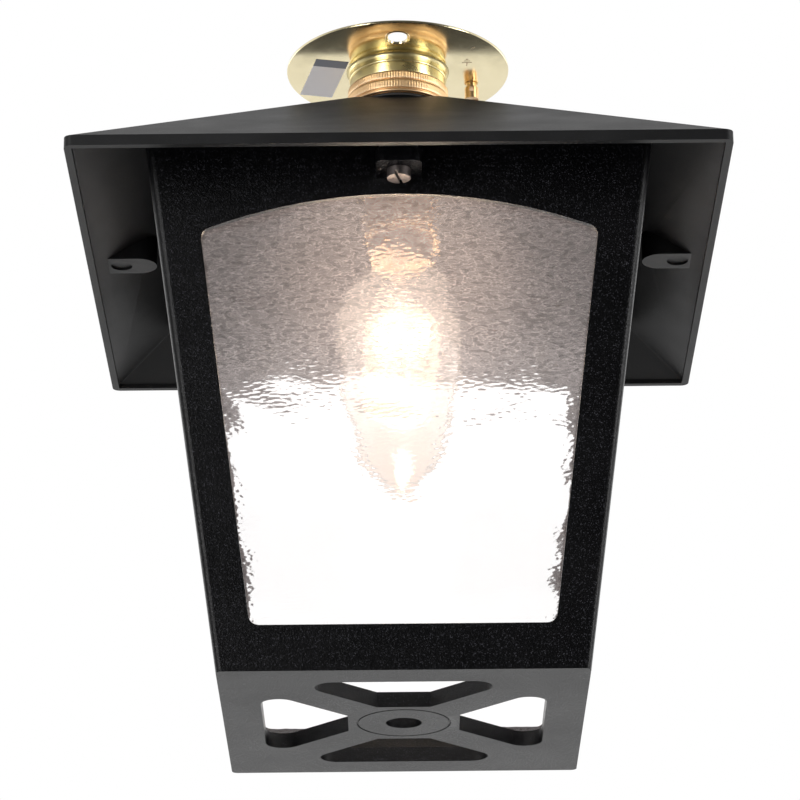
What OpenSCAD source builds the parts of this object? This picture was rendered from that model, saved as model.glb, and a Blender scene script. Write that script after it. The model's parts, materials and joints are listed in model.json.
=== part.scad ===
// Porch ceiling lantern: a cast roof and body hung from a brass bayonet lampholder.
// Millimetres. The origin is the centre of the ceiling plate's top face, +Z is up,
// and -Y is the front. Everything hangs below the ceiling, so heights are negative.

/* [Ceiling plate] */
// Diameter of the ceiling plate
plate_d = 80.3; // [76:0.5:96]
// Thickness of the ceiling plate
plate_t = 0.9; // [0.7:0.1:2]
// Distance between the two fixing slots, front to back
fixing_pitch = 56; // [52:0.5:60]
// Width of a fixing slot
slot_w = 7.6; // [4:0.1:8.4]
// End-to-end length of a fixing slot
slot_l = 9.8; // [9:0.1:13]
// Diameter of the supply cable's hole in the plate
cable_hole_d = 14; // [8:0.5:20]
// Width of the paper label
label_w = 12; // [8:0.5:13]
// Length of the paper label
label_l = 29.5; // [16:0.5:30]
// Distance of the label's middle to the left of the holder's axis
label_left = 26.8; // [26:0.1:28]
// Distance of the label's middle behind the holder's axis
label_back = 3.8; // [0:0.1:6]
// Turn of the label, in degrees
label_turn = 13; // [0:1:20]

/* [Earth post] */
// Diameter of the earth post
post_d = 5; // [4.6:0.1:6]
// Length of the earth post
post_l = 4.4; // [4:0.1:8]
// Distance of the earth post to the right of the holder's axis
post_right = 26.9; // [25:0.1:30]
// Distance of the earth post behind the holder's axis
post_back = 11.2; // [0:0.1:14]

/* [Lampholder] */
// Distance from the thread's crest out to the cover's skirt
cover_lap = 3.2; // [2.4:0.05:3.6]
// Height of the cover below the plate
cover_h = 7.6; // [7.4:0.1:12]
// Wall of the cover
cover_wall = 1; // [0.6:0.1:1.2]
// Crest diameter of the shade-ring thread
thread_d = 27.9; // [27.4:0.1:28.2]
// Pitch of the shade-ring thread
thread_pitch = 2; // [1.5:0.1:2.5]
// Depth of the thread
thread_depth = 0.5; // [0.3:0.05:0.6]
// Length of the threaded part of the barrel
thread_l = 34; // [32:1:38]
// Wall of the barrel's mouth
mouth_wall = 1.1; // [0.9:0.05:1.5]
// Height of the barrel's mouth, up to the inside shoulder
mouth_h = 18.5; // [17:0.5:22]
// Radial play of the lamp's cap in the barrel's mouth
lamp_play = 0.4; // [0.3:0.05:0.6]
// Total length of the barrel below the cover's floor
barrel_l = 59; // [58:0.1:64]
// Wall of the barrel behind its thread
barrel_wall = 0.85; // [0.6:0.05:1]
// Height of the bayonet seats above the mouth
seat_h = 8; // [7:0.1:9]
// Height of the wiring space between the plate and the core
wiring_h = 4.6; // [4:0.1:5]

/* [Shade rings] */
// Wall of the barrel ring, outside the thread
barrel_ring_wall = 4.1; // [3:0.05:4.5]
// Height of the barrel ring
barrel_ring_h = 3; // [2.6:0.1:4]
// Height of the upper shade ring
upper_ring_h = 5.4; // [4.4:0.1:7]
// Wall of the two shade rings, outside the thread
ring_wall = 4.65; // [3.6:0.05:5.5]
// Height of the lower shade ring
lower_ring_h = 7; // [4:0.1:9]
// Number of ridges of the knurling
knurl_n = 116; // [60:1:130]
// Thickness of the washers above and below the roof
washer_t = 0.9; // [0.6:0.1:2]
// Width of a washer's ring
washer_wall = 2.75; // [1.5:0.05:3.8]

/* [Roof] */
// Width of the roof
roof_w = 220; // [212:1:240]
// Height of the fascia round the roof
fascia_h = 3.75; // [3:0.05:6]
// Slope of the roof in degrees
roof_slope = 31.95; // [30.5:0.05:34]
// Width of the flat top of the roof
roof_top_w = 30.8; // [28:0.1:36]
// Wall of the roof
roof_wall = 3; // [2.4:0.1:3.6]
// Width of the rim's underside
rim_w = 2.5; // [2:0.1:4]
// Thickness of the roof's hub, under its flat top
hub_t = 6.1; // [6:0.1:8]
// Radial play of the threaded barrel in the roof's hole
hole_play = 0.55; // [0.45:0.05:0.85]
// Radius of the roof's upright corners
roof_corner_r = 2.8; // [1:0.1:5]
// Width of a lug inside the rim
lug_w = 13; // [12:0.1:16]
// Height of a lug's underside above the rim
lug_rise = 4.3; // [3.8:0.1:5]
// Clear space between a lug's round end and the body
lug_gap = 2.2; // [1.8:0.1:3]
// Diameter of the dimple in the two side lugs
dimple_d = 7.5; // [4:0.1:8]
// Distance from the roof's edge to the middle of the dimple
dimple_inset = 11.2; // [9:0.1:12]

/* [Body] */
// Width of the body at its bottom face
body_w = 121.9; // [120:0.1:126]
// Depth of the body's bottom face below the roof's rim
body_drop = 165.3; // [150:0.1:200]
// Lean of each face outwards, in degrees
taper = 7.76; // [7:0.02:8.2]
// Wall of the body
body_wall = 3; // [2.4:0.1:3.4]
// Radius of the body's corner edges at the bottom
body_corner_r = 2; // [0.6:0.1:3]
// Width of an ear on the front or back
ear_w = 15.3; // [14:0.1:18]
// Reach of an ear from the body's face
ear_reach = 14.2; // [13.4:0.1:15]
// Thickness of an ear
ear_t = 4.9; // [3:0.1:6]
// Distance of the body's screws from its faces
screw_off = 6; // [5.8:0.1:8]
// Depth of the body's screws in the roof's lugs
screw_bite = 6; // [4:0.1:6.4]

/* [Windows] */
// Height of the rail below a window, along the face
rail_h = 15.2; // [12:0.1:20]
// Height of the frame above a window's sides, along the face up to the roof's rim
head_h = 18.4; // [17:0.1:24]
// Rise of the window's arch
arch_rise = 12.3; // [6:0.1:16]
// Width of a stile at the window's lower corner
stile_low = 13.1; // [12:0.1:18]
// Width of a stile at the window's upper corner
stile_top = 14.6; // [13.5:0.1:20]
// Radius of the window's corners
window_r = 3.5; // [1:0.1:6]

/* [Panes] */
// Thickness of a pane
pane_t = 3; // [2:0.1:3.4]
// Overlap of a pane on the frame round its window
pane_lap = 4; // [2:0.1:4.4]
// Distance of a clip from the middle of its pane
clip_reach = 52; // [30:1:58]
// Width of a clip
clip_w = 8; // [7:0.1:10]
// Thickness of a clip
clip_t = 0.8; // [0.5:0.1:1.2]
// Length of a clip's tongue on the glass
clip_tongue = 7; // [4:0.1:8]

/* [Bottom openwork] */
// Thickness of the bottom
grid_t = 5.3; // [4:0.1:7]
// Width of a diagonal spoke
spoke_w = 14.1; // [10:0.1:18]
// Width of the solid border round the cut-outs
border_w = 13.3; // [11:0.1:18]
// Distance from the centre to the inner edge of a cut-out
hub_reach = 18.9; // [17.5:0.1:24]
// Radius of a cut-out's outer corners
cut_r = 6; // [2:0.1:6.5]
// Diameter of the hole in the middle
centre_hole_d = 12.2; // [6:0.1:16]
// Diameter of the shallow ring groove round the hole
groove_d = 32; // [24:0.1:33]

/* [Lamp] */
// Greatest diameter of the lamp's bulb
bulb_d = 45; // [38:0.5:50]
// Overall length of the lamp
lamp_l = 112.5; // [104:0.5:120]
// Diameter of the lamp's cap
cap_d = 22; // [21.6:0.1:22.2]
// Length of the lamp's cap
cap_l = 24.5; // [24:0.5:27]
// Wall of the lamp's cap
cap_wall = 0.6; // [0.4:0.05:0.8]
// Wall of the bulb
glass_t = 0.8; // [0.5:0.05:1.2]
// Distance from the cap's end down to the widest part of the bulb
belly_drop = 27.5; // [24:0.5:34]
// Length of the glass stem below the cap
stem_l = 17; // [12:0.5:18]
// Distance from the contacts down to the bayonet pins
pin_drop = 7; // [6.5:0.1:7.5]
// Diameter of a bayonet pin
pin_d = 2.2; // [2:0.1:2.4]
// Reach of a bayonet pin from the cap
pin_reach = 2.4; // [2.2:0.1:2.6]
// How far the lamp pushes up to be released
push = 2; // [1.5:0.1:2.4]
// Turn from the locked place to the straight slot, in degrees
twist = 20; // [15:1:25]

/* [Contacts] */
// Distance between the two contacts
contact_gap = 8.8; // [8:0.1:9.4]
// Diameter of a plunger's tip
plunger_d = 3.8; // [3:0.1:4]
// Diameter of a plunger's shoulder
shoulder_d = 4.8; // [4.5:0.1:5.2]
// Wire diameter of a contact spring
spring_wire = 0.5; // [0.3:0.05:0.6]
// Number of turns of a contact spring
spring_turns = 7; // [5:1:9]
// Length of a contact spring with the lamp in
spring_l = 11.5; // [9:0.5:14]

/* [Fasteners] */
// Thread diameter of the body's screws
body_screw_d = 5; // [4:0.1:5.5]
// Head diameter of the body's screws
body_head_d = 8; // [7:0.1:9]
// Head height of the body's screws
body_head_h = 3.3; // [2.5:0.1:4]
// Thread diameter of the small screws
small_screw_d = 3; // [2.5:0.1:3.2]

/* [Hidden] */
$fn = 64;
SIDES = ["front", "right", "back", "left"];
ENDS = ["front", "back"];

running = 0.05;      // radial clearance of a piece that turns or slides in another
easy = 0.3;          // clearance between pieces that only lie beside each other
slit = 0.1;          // clearance of an edge that rests in a corner
over = 1;            // how far a cut runs past a face
corner_n = 6;        // segments of a rounded corner
slot_n = 6;          // steps of a bayonet slot's slope

// Diameters that follow the thread and the lamp's cap
cover_d = thread_d + 2 * cover_lap;
barrel_ring_d = thread_d + 2 * barrel_ring_wall;
ring_d = thread_d + 2 * ring_wall;
washer_bore = thread_d + 2 * easy;
washer_d = washer_bore + 2 * washer_wall;
roof_hole_d = thread_d + 2 * hole_play;
mouth_bore = cap_d + 2 * lamp_play;
mouth_d = mouth_bore + 2 * mouth_wall;

// Levels from the ceiling down
plate_under = -plate_t;
cover_end = plate_under - cover_h;
barrel_ring_end = cover_end - barrel_ring_h;
upper_ring_end = barrel_ring_end - upper_ring_h;
roof_top = upper_ring_end - washer_t;
hub_under = roof_top - hub_t;
lower_ring_top = hub_under - washer_t;
slope_rise = (roof_w - roof_top_w) / 2 * tan(roof_slope);
eaves = roof_top - slope_rise;
rim = eaves - fascia_h;
base = rim - body_drop;

// The roof's inner slope, as a height over a distance from the axis
inner_apex = eaves + roof_w / 2 * tan(roof_slope) - roof_wall / cos(roof_slope);
function under_slope(half) = inner_apex - half * tan(roof_slope);
function slope_reach(z) = (inner_apex - z) / tan(roof_slope);

// The body's outer half width at a height, and its top where it meets the roof
function body_half(z) = body_w / 2 + (z - base) * tan(taper);
wall_across = body_wall / cos(taper);
body_top = (under_slope(body_w / 2) + base * tan(taper) * tan(roof_slope))
  / (1 + tan(taper) * tan(roof_slope)) - easy;
grid_top = base + grid_t;
lug_under = rim + lug_rise;
lug_end = body_half(lug_under) + lug_gap;
ear_under = lug_under - ear_t;
screw_reach = body_half(lug_under) + screw_off;
small_head_d = small_screw_d * 1.9;
small_head_h = small_screw_d * 0.6;

// Places along a face, measured up its slope from the bottom edge
window_top = body_drop / cos(taper) - head_h;
window_h = window_top - rail_h;
arch_top = window_top + arch_rise;
pane_low = (grid_t - body_wall * sin(taper)) / cos(taper) + slit;
pane_high = arch_top + pane_lap;
function face_half(up) = body_w / 2 + up * sin(taper);
window_half_low = face_half(rail_h) - stile_low;
window_half_top = face_half(window_top) - stile_top;
function window_half(up) = window_half_low
  + (up - rail_h) * (window_half_top - window_half_low) / window_h;
clip_seat = pane_high + slit + small_head_d / 2 + 1;

// The holder's inside
thread_root_d = thread_d - 2 * thread_depth;
shell_bore = thread_root_d - 2 * barrel_wall;
flange_d = cover_d - 2 * cover_wall - 2 * easy;
flange_t = 1;
floor_top = cover_end + cover_wall;
barrel_end = floor_top - barrel_l;
shoulder_z = barrel_end + mouth_h;
core_top = plate_under - wiring_h;
core_end = shoulder_z + easy;
web_t = 3;           // the core's floor, that the plungers' tips pass through
thread_end = cover_end - thread_l;
terminal_x = 8;
terminal_y = 6;
terminal_h = 7;
terminal_reach = contact_gap / 2 + 1.2;
terminal_screw_d = small_screw_d * 0.8;
terminal_screw_x = -2;
terminal_screw_l = 4;

// The lamp's places. The pins sit at seat_z when the lamp is locked.
seat_z = barrel_end + seat_h;
contact_z = seat_z + pin_drop;
contact_d = 5;
contact_rise = 0.8;
cap_top = contact_z - contact_rise;
cap_end = contact_z - cap_l;
insulator_t = 3;
lamp_tip = contact_z - lamp_l;
neck_d = cap_d - 2 * cap_wall - 2 * 0.2;
neck_top = cap_top - 9;
belly_z = cap_end - belly_drop;
stem_end = cap_end - stem_l;
stem_bead_d = 5.6;
filament_r = 9;
filament_wire = 0.8;
support_wire = 0.6;

// Contacts and springs
shoulder_low = core_end + web_t + 1;
shoulder_h = 3;
post_end = shoulder_low + shoulder_h + spring_l;
spring_mean_r = shoulder_d / 2 - 0.35;

// A square with rounded corners, as points
function rounded_square(half, r) = [
  for (quarter = [0:3], step = [0:corner_n])
    let (a = 90 * (quarter + step / corner_n),
         sx = [1, -1, -1, 1][quarter],
         sy = [1, 1, -1, -1][quarter])
    [sx * (half - r) + r * cos(a), sy * (half - r) + r * sin(a)]];

// A square block that widens or narrows steadily upwards
module taper_block(half_low, half_top, h, r) {
  linear_extrude(height = h, scale = half_top / half_low)
    polygon(rounded_square(half_low, r));
}

// A flat ring or a drilled disc, standing on z = 0
module ring(d, bore, h) {
  difference() {
    cylinder(d = d, h = h);
    translate([0, 0, -over]) cylinder(d = bore, h = h + 2 * over);
  }
}

// A disc with upright ridges round its edge
module knurled_disc(d, h, depth = 0.3) {
  linear_extrude(height = h)
    polygon([for (i = [0:2 * knurl_n - 1])
      (d / 2 - (i % 2) * depth) * [cos(180 * i / knurl_n), sin(180 * i / knurl_n)]]);
}

// A screw that points up, with its slotted head below z = 0
module slotted_screw(d, l, head_d, head_h) {
  difference() {
    union() {
      cylinder(d = d, h = l);
      translate([0, 0, -head_h]) cylinder(d = head_d, h = head_h);
    }
    translate([-head_d, -d * 0.1, -head_h - over]) cube([2 * head_d, d * 0.2, over + head_h * 0.4]);
  }
}

// A face's own frame: x across, y up the slope from the bottom edge, z outwards
module on_face(side) {
  rotate([0, 0, 90 * side]) translate([0, -body_w / 2, base]) rotate([90 + taper, 0, 0]) children();
}

// ---- Ceiling plate ----

module ceiling_plate() {
  color("#c9b458") difference() {
    translate([0, 0, plate_under]) cylinder(d = plate_d, h = plate_t);
    translate([0, 0, plate_under - over]) cylinder(d = cable_hole_d, h = plate_t + 2 * over);
    for (end = [-1, 1]) translate([0, end * fixing_pitch / 2, plate_under - over]) fixing_slot();
  }
}

module fixing_slot() {
  run = slot_l - slot_w;
  depth = plate_t + 2 * over;
  for (end = [-1, 1]) translate([0, end * run / 2, 0]) cylinder(d = slot_w, h = depth);
  translate([-slot_w / 2, -run / 2, 0]) cube([slot_w, run, depth]);
}

// A blank paper label stuck under the plate, beside the holder
module plain_label() {
  label_t = 0.2;
  color("#e6e2e0") translate([-label_left, label_back, plate_under - label_t])
    rotate([0, 0, label_turn])
    translate([-label_w / 2, -label_l / 2, 0]) cube([label_w, label_l, label_t]);
}

module earth_post() {
  color("#b8934a") translate([post_right, post_back, plate_under - post_l]) difference() {
    union() {
      cylinder(d = post_d, h = post_l - 1);
      translate([0, 0, post_l - 1]) cylinder(d = post_d * 0.75, h = 1);
    }
    translate([0, 0, -over]) cylinder(d = small_screw_d + 2 * running, h = post_l * 0.6 + over);
    translate([0, post_d, post_l * 0.5]) rotate([90, 0, 0]) cylinder(d = 2, h = 2 * post_d);
  }
}

module earth_screw() {
  color("#b8934a") translate([post_right, post_back, plate_under - post_l])
    slotted_screw(small_screw_d, post_l * 0.25, post_d, 1.2);
}

// ---- Lampholder ----

// A brass cover with a foot, a bead and a floor, open at the top
module holder_cover() {
  r = cover_d / 2;
  foot = 1.5;
  bead_r = 0.6;
  bead_z = plate_under - 3.2;
  color("#c2a64e") difference() {
    union() {
      translate([0, 0, cover_end]) cylinder(r = r, h = cover_h);
      rotate_extrude() difference() {
        translate([0, plate_under - foot]) square([r + foot, foot]);
        translate([r + foot, plate_under - foot]) circle(r = foot);
      }
      translate([0, 0, bead_z]) rotate_extrude() translate([r - 0.1, 0]) circle(r = bead_r);
    }
    translate([0, 0, floor_top]) cylinder(r = r - cover_wall, h = cover_h);
    translate([0, 0, cover_end - over]) cylinder(d = thread_d + 2 * running, h = cover_wall + 2 * over);
  }
}

// The knurled ring that clamps the cover's floor against the barrel's flange
module barrel_ring() {
  color("#b98c4c") translate([0, 0, barrel_ring_end]) difference() {
    knurled_disc(barrel_ring_d, barrel_ring_h);
    translate([0, 0, -over]) cylinder(d = thread_d + 2 * running, h = barrel_ring_h + 2 * over);
  }
}

// The thread is a row of ridges, each a rounded bump on the root cylinder
module thread_ridges(z_high, z_low) {
  count = floor((z_high - z_low) / thread_pitch);
  for (i = [0:count - 1])
    translate([0, 0, z_high - (i + 0.5) * thread_pitch]) rotate_extrude()
      polygon([[shell_bore / 2 + 0.3, thread_pitch * 0.42], [thread_root_d / 2, thread_pitch * 0.42],
               [thread_d / 2, thread_pitch * 0.14], [thread_d / 2, -thread_pitch * 0.14],
               [thread_root_d / 2, -thread_pitch * 0.42], [shell_bore / 2 + 0.3, -thread_pitch * 0.42]]);
}

module holder_barrel() {
  color("#b08a4a") difference() {
    union() {
      translate([0, 0, floor_top]) cylinder(d = flange_d, h = flange_t);
      translate([0, 0, shoulder_z - 1]) cylinder(d = thread_root_d, h = floor_top - shoulder_z + 1 + slit);
      thread_ridges(cover_end, thread_end);
      translate([0, 0, barrel_end]) cylinder(d = mouth_d, h = mouth_h + slit);
      translate([0, 0, barrel_end + 0.5]) rotate_extrude()
        translate([mouth_d / 2 - 0.1, 0]) circle(r = 0.5);
    }
    translate([0, 0, shoulder_z]) cylinder(d = shell_bore, h = -shoulder_z);
    translate([0, 0, barrel_end - over]) cylinder(d = mouth_bore, h = mouth_h + 2 * over);
    for (end = [0, 180]) rotate([0, 0, end]) bayonet_slot();
  }
}

// A slot for one pin: straight up from the mouth, then down a short slope to the seat,
// cut as a row of round holes so that the pin has the same room all the way
module bayonet_slot() {
  r = pin_d / 2 + 0.15;
  near = mouth_bore / 2 - 2;
  far = mouth_wall + 4;
  for (i = [0:slot_n]) rotate([0, 0, -twist * i / slot_n])
    translate([near, 0, seat_z + push * i / slot_n]) rotate([0, 90, 0]) cylinder(r = r, h = far);
  rotate([0, 0, -twist]) translate([near, -r, barrel_end - over])
    cube([far, 2 * r, seat_z + push - barrel_end + over]);
}

// The porcelain core: a flange on the barrel's flange, and two stepped bores for the contacts
module insulating_core() {
  flange_low = floor_top + flange_t;
  color("#e9e4d6") difference() {
    union() {
      translate([0, 0, flange_low]) cylinder(d = flange_d, h = core_top - flange_low);
      translate([0, 0, core_end]) cylinder(d = shell_bore - 2 * easy, h = flange_low - core_end + slit);
    }
    for (end = [-1, 1]) translate([0, end * contact_gap / 2, 0]) {
      translate([0, 0, core_end - over]) cylinder(d = plunger_d + 2 * running, h = web_t + 2 * over);
      translate([0, 0, core_end + web_t]) cylinder(d = shoulder_d + 2 * running, h = -core_end);
    }
    for (end = [-1, 1]) translate([0, end * terminal_reach, core_top - terminal_h - slit])
      translate([-terminal_x / 2 - slit, -terminal_y / 2 - slit, 0])
        cube([terminal_x + 2 * slit, terminal_y + 2 * slit, terminal_h + over]);
  }
}

// A brass block in the core's pocket, with a stem that the spring bears on
module terminal(end) {
  color("#c2a64e") translate([0, end * terminal_reach, core_top - terminal_h]) difference() {
    union() {
      translate([-terminal_x / 2, -terminal_y / 2, 0]) cube([terminal_x, terminal_y, terminal_h]);
      translate([0, end * (contact_gap / 2 - terminal_reach), post_end - core_top + terminal_h])
        cylinder(d = shoulder_d, h = core_top - post_end - terminal_h + slit);
    }
    translate([terminal_screw_x, 0, terminal_h - terminal_screw_l - over])
      cylinder(d = terminal_screw_d + 2 * running, h = terminal_screw_l + 2 * over);
    translate([2.2, 0, 2]) cylinder(d = 2, h = terminal_h);
  }
}

module terminal_screw(end) {
  color("silver") translate([terminal_screw_x, end * terminal_reach, core_top])
    rotate([180, 0, 0]) slotted_screw(terminal_screw_d, terminal_screw_l, 3.8, 1.4);
}

// The spring is one tube round a helix, with a few flat turns' worth of clearance at its ends
module spring(end) {
  low = shoulder_low + shoulder_h + spring_wire / 2 + running;
  high = post_end - spring_wire / 2 - running;
  steps = spring_turns * 8;
  sides = 6;
  points = [for (i = [0:steps], k = [0:sides - 1])
    let (a = 45 * i, b = 60 * k, r = spring_mean_r - spring_wire / 2 + spring_wire / 2 * cos(b))
    [r * cos(a), r * sin(a), low + (high - low) * i / steps + spring_wire / 2 * sin(b)]];
  faces = concat(
    [[for (k = [0:sides - 1]) k]],
    [[for (k = [0:sides - 1]) steps * sides + sides - 1 - k]],
    [for (i = [0:steps - 1], k = [0:sides - 1], half = [0, 1])
      let (n = (k + 1) % sides, a = i * sides, b = (i + 1) * sides)
      half == 0 ? [a + k, b + k, b + n] : [a + k, b + n, a + n]]);
  color("silver") translate([0, end * contact_gap / 2, 0]) polyhedron(points, faces);
}

module plunger(end) {
  color("#d0a94e") translate([0, end * contact_gap / 2, 0]) {
    translate([0, 0, shoulder_low]) cylinder(d = shoulder_d, h = shoulder_h);
    translate([0, 0, contact_z]) cylinder(d = plunger_d, h = shoulder_low - contact_z + slit);
  }
}

// ---- Shade rings and washers ----

// A smooth lip, a narrow groove, a knurled band and a bevel up to the barrel ring
module upper_shade_ring() {
  lip = 1.1;
  groove = 0.35;
  bevel = 0.6;
  band = upper_ring_h - lip - groove - bevel;
  color("#b98c4c") translate([0, 0, upper_ring_end]) difference() {
    union() {
      cylinder(d = ring_d, h = lip);
      translate([0, 0, lip]) cylinder(d = ring_d - 1, h = groove);
      translate([0, 0, lip + groove]) knurled_disc(ring_d, band);
      translate([0, 0, upper_ring_h - bevel]) cylinder(d1 = ring_d - 0.7, d2 = barrel_ring_d - 0.7, h = bevel);
    }
    translate([0, 0, -over]) cylinder(d = thread_d + 2 * running, h = upper_ring_h + 2 * over);
  }
}

module upper_washer() {
  color("#1c1b1a") translate([0, 0, roof_top]) ring(washer_d, washer_bore, washer_t);
}

module lower_washer() {
  color("#1c1b1a") translate([0, 0, lower_ring_top]) ring(washer_d, washer_bore, washer_t);
}

module lower_shade_ring() {
  color("#b98c4c") translate([0, 0, lower_ring_top - lower_ring_h]) difference() {
    union() {
      knurled_disc(ring_d, lower_ring_h - 1.2);
      translate([0, 0, lower_ring_h - 1.2]) cylinder(d = ring_d - 1, h = 1.2);
    }
    translate([0, 0, -over]) cylinder(d = thread_d + 2 * running, h = lower_ring_h + 2 * over);
  }
}

// ---- Roof ----

module roof() {
  color("#1d1d1e") difference() {
    union() {
      translate([0, 0, rim]) linear_extrude(height = fascia_h)
        polygon(rounded_square(roof_w / 2, roof_corner_r));
      translate([0, 0, eaves])
        taper_block(roof_w / 2, roof_top_w / 2, slope_rise, roof_corner_r);
    }
    difference() {
      roof_hollow();
      for (side = [0:3]) rotate([0, 0, 90 * side]) lug();
    }
    translate([0, 0, hub_under - over]) cylinder(d = roof_hole_d, h = hub_t + 2 * over);
    for (side = [0, 2]) rotate([0, 0, 90 * side]) translate([0, -screw_reach, lug_under - over])
      cylinder(d = body_screw_d + 2 * running, h = screw_bite + 0.5 + over);
    for (side = [1, 3]) rotate([0, 0, 90 * side])
      translate([0, -roof_w / 2 + dimple_inset, lug_under - over])
        cylinder(d = dimple_d, h = over + 0.8);
  }
}

// The space inside the roof: a short upright wall, then the slope up to the hub
module roof_hollow() {
  inner_half = roof_w / 2 - rim_w;
  turn_z = under_slope(inner_half);
  inner_r = max(roof_corner_r - rim_w, 0.5);
  translate([0, 0, rim - over]) linear_extrude(height = turn_z - rim + over)
    polygon(rounded_square(inner_half, inner_r));
  translate([0, 0, turn_z])
    taper_block(inner_half, slope_reach(hub_under), hub_under - turn_z, inner_r);
}

// A bar from the rim inwards with a round end. The roof's slope closes its top.
module lug() {
  translate([0, 0, lug_under]) {
    translate([-lug_w / 2, -roof_w / 2, 0]) cube([lug_w, roof_w / 2 - lug_end - lug_w / 2, slope_rise]);
    translate([0, -lug_end - lug_w / 2, 0]) cylinder(d = lug_w, h = slope_rise);
  }
}

// ---- Body ----

module body() {
  h = body_top - base;
  color("#1d1d1e") difference() {
    union() {
      difference() {
        translate([0, 0, base]) taper_block(body_w / 2, body_half(body_top), h, body_corner_r);
        translate([0, 0, grid_top]) taper_block(
          body_half(grid_top) - wall_across, body_half(body_top + over) - wall_across,
          h - grid_t + over, 1);
        for (side = [0:3]) on_face(side) translate([0, 0, -body_wall - over])
          linear_extrude(height = body_wall + 2 * over) window_outline();
      }
      for (side = [0:3]) on_face(side) {
        pane_rib();
        for (end = [-1, 1]) translate([end * clip_reach, clip_seat, -body_wall - pane_t - running])
          cylinder(d = small_head_d + 1.4, h = pane_t + running + body_wall / 2);
      }
      for (side = [0, 2]) rotate([0, 0, 90 * side]) ear();
    }
    for (side = [0:3]) rotate([0, 0, 90 * side]) translate([0, 0, base - over])
      linear_extrude(height = grid_t + 2 * over) cut_out();
    translate([0, 0, base - over]) cylinder(d = centre_hole_d, h = grid_t + 2 * over);
    translate([0, 0, base - over]) difference() {
      cylinder(d = groove_d, h = over + 0.4);
      translate([0, 0, -over]) cylinder(d = groove_d - 1.2, h = 3 * over + 0.4);
    }
    for (side = [0:3], end = [-1, 1]) on_face(side)
      translate([end * clip_reach, clip_seat, -body_wall - pane_t - over])
        cylinder(d = small_screw_d + 2 * running, h = pane_t + over + body_wall * 0.6);
    for (side = [0, 2]) rotate([0, 0, 90 * side]) translate([0, -screw_reach, ear_under - over])
      cylinder(d = body_screw_d + 2 * easy, h = ear_t + 2 * over);
  }
}

// The window: straight leaning sides and a flat arch
module window_outline() {
  chord = window_half_top;
  arch_r = (chord * chord + arch_rise * arch_rise) / (2 * arch_rise);
  offset(r = window_r, $fn = 32) offset(delta = -window_r) intersection() {
    polygon([[-window_half_low, rail_h], [window_half_low, rail_h],
             [window_half(arch_top), arch_top], [-window_half(arch_top), arch_top]]);
    translate([0, arch_top - arch_r]) circle(r = arch_r, $fn = 180);
  }
}

// A rib along the bottom that keeps the pane's lower edge against the wall
module pane_rib() {
  rib_t = 1.6;
  rib_half = window_half_low * 0.8;
  rib_h = 5;
  translate([-rib_half, pane_low - 1.5, -body_wall - pane_t - easy - rib_t]) cube([2 * rib_half, rib_h + 1.5, rib_t]);
}

// An ear on the front or back that lies under the roof's lug
module ear() {
  root = body_half(ear_under) - body_wall / 2;
  reach = body_half(ear_under) + ear_reach;
  r = 3;
  translate([0, 0, ear_under]) linear_extrude(height = ear_t) union() {
    translate([-ear_w / 2, -reach + r]) square([ear_w, reach - r - root]);
    translate([-ear_w / 2 + r, -reach]) square([ear_w - 2 * r, 2 * r]);
    for (x = [-1, 1]) translate([x * (ear_w / 2 - r), -reach + r]) circle(r = r);
  }
}

// One of the bottom's four cut-outs: a rounded triangle cut off square near the hub
module cut_out() {
  half_spoke = spoke_w / sqrt(2);
  outer = body_w / 2 - border_w;
  intersection() {
    offset(r = cut_r, $fn = 40) offset(delta = -cut_r)
      polygon([[0, -half_spoke], [outer - half_spoke, -outer], [half_spoke - outer, -outer]]);
    translate([-outer, -outer - over]) square([2 * outer, outer - hub_reach + over]);
  }
}

module body_screw(side) {
  color("#8e8f92") rotate([0, 0, 90 * side]) translate([0, -screw_reach, ear_under])
    rotate([0, 0, 25]) slotted_screw(body_screw_d, ear_t + screw_bite, body_head_d, body_head_h);
}

// ---- Panes ----

module pane(side) {
  low = window_half(pane_low) + pane_lap;
  high = window_half(pane_high) + pane_lap;
  color("#dfe6e6", 0.4) on_face(side) translate([0, 0, -body_wall - pane_t])
    linear_extrude(height = pane_t)
      polygon([[-low, pane_low], [low, pane_low], [high, pane_high], [-high, pane_high]]);
}

// Two flat spring clips that press on the pane's top edge
module clips(side) {
  top = clip_seat + small_head_d / 2 + 0.7;
  low = pane_high - clip_tongue;
  color("silver") on_face(side) for (end = [-1, 1])
    translate([end * clip_reach, 0, -body_wall - pane_t - running - clip_t]) difference() {
      translate([-clip_w / 2, low, 0]) cube([clip_w, top - low, clip_t]);
      translate([0, clip_seat, -over]) cylinder(d = small_screw_d + 2 * easy, h = clip_t + 2 * over);
    }
}

module clip_screws(side) {
  color("silver") on_face(side) for (end = [-1, 1])
    translate([end * clip_reach, clip_seat, -body_wall - pane_t - running - clip_t])
      slotted_screw(small_screw_d, clip_t + pane_t + body_wall * 0.4, small_head_d, small_head_h);
}

// ---- Lamp ----

module lamp_cap() {
  color("#b5803e") {
    difference() {
      translate([0, 0, cap_end]) cylinder(d = cap_d, h = cap_top - cap_end);
      translate([0, 0, cap_end - over]) cylinder(d = cap_d - 2 * cap_wall, h = cap_top - cap_end + 2 * over);
    }
    for (end = [0, 180]) rotate([0, 0, end]) translate([cap_d / 2 - cap_wall, 0, seat_z])
      rotate([0, 90, 0]) cylinder(d = pin_d, h = pin_reach + cap_wall);
  }
}

// Black insulator that closes the cap's top
module cap_insulator() {
  color("#17130f") translate([0, 0, cap_top - insulator_t]) difference() {
    cylinder(d = cap_d - 2 * cap_wall - 2 * running, h = insulator_t);
    for (end = [-1, 1]) translate([0, end * contact_gap / 2, -over])
      cylinder(d = contact_d, h = insulator_t + 2 * over);
  }
}

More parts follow.
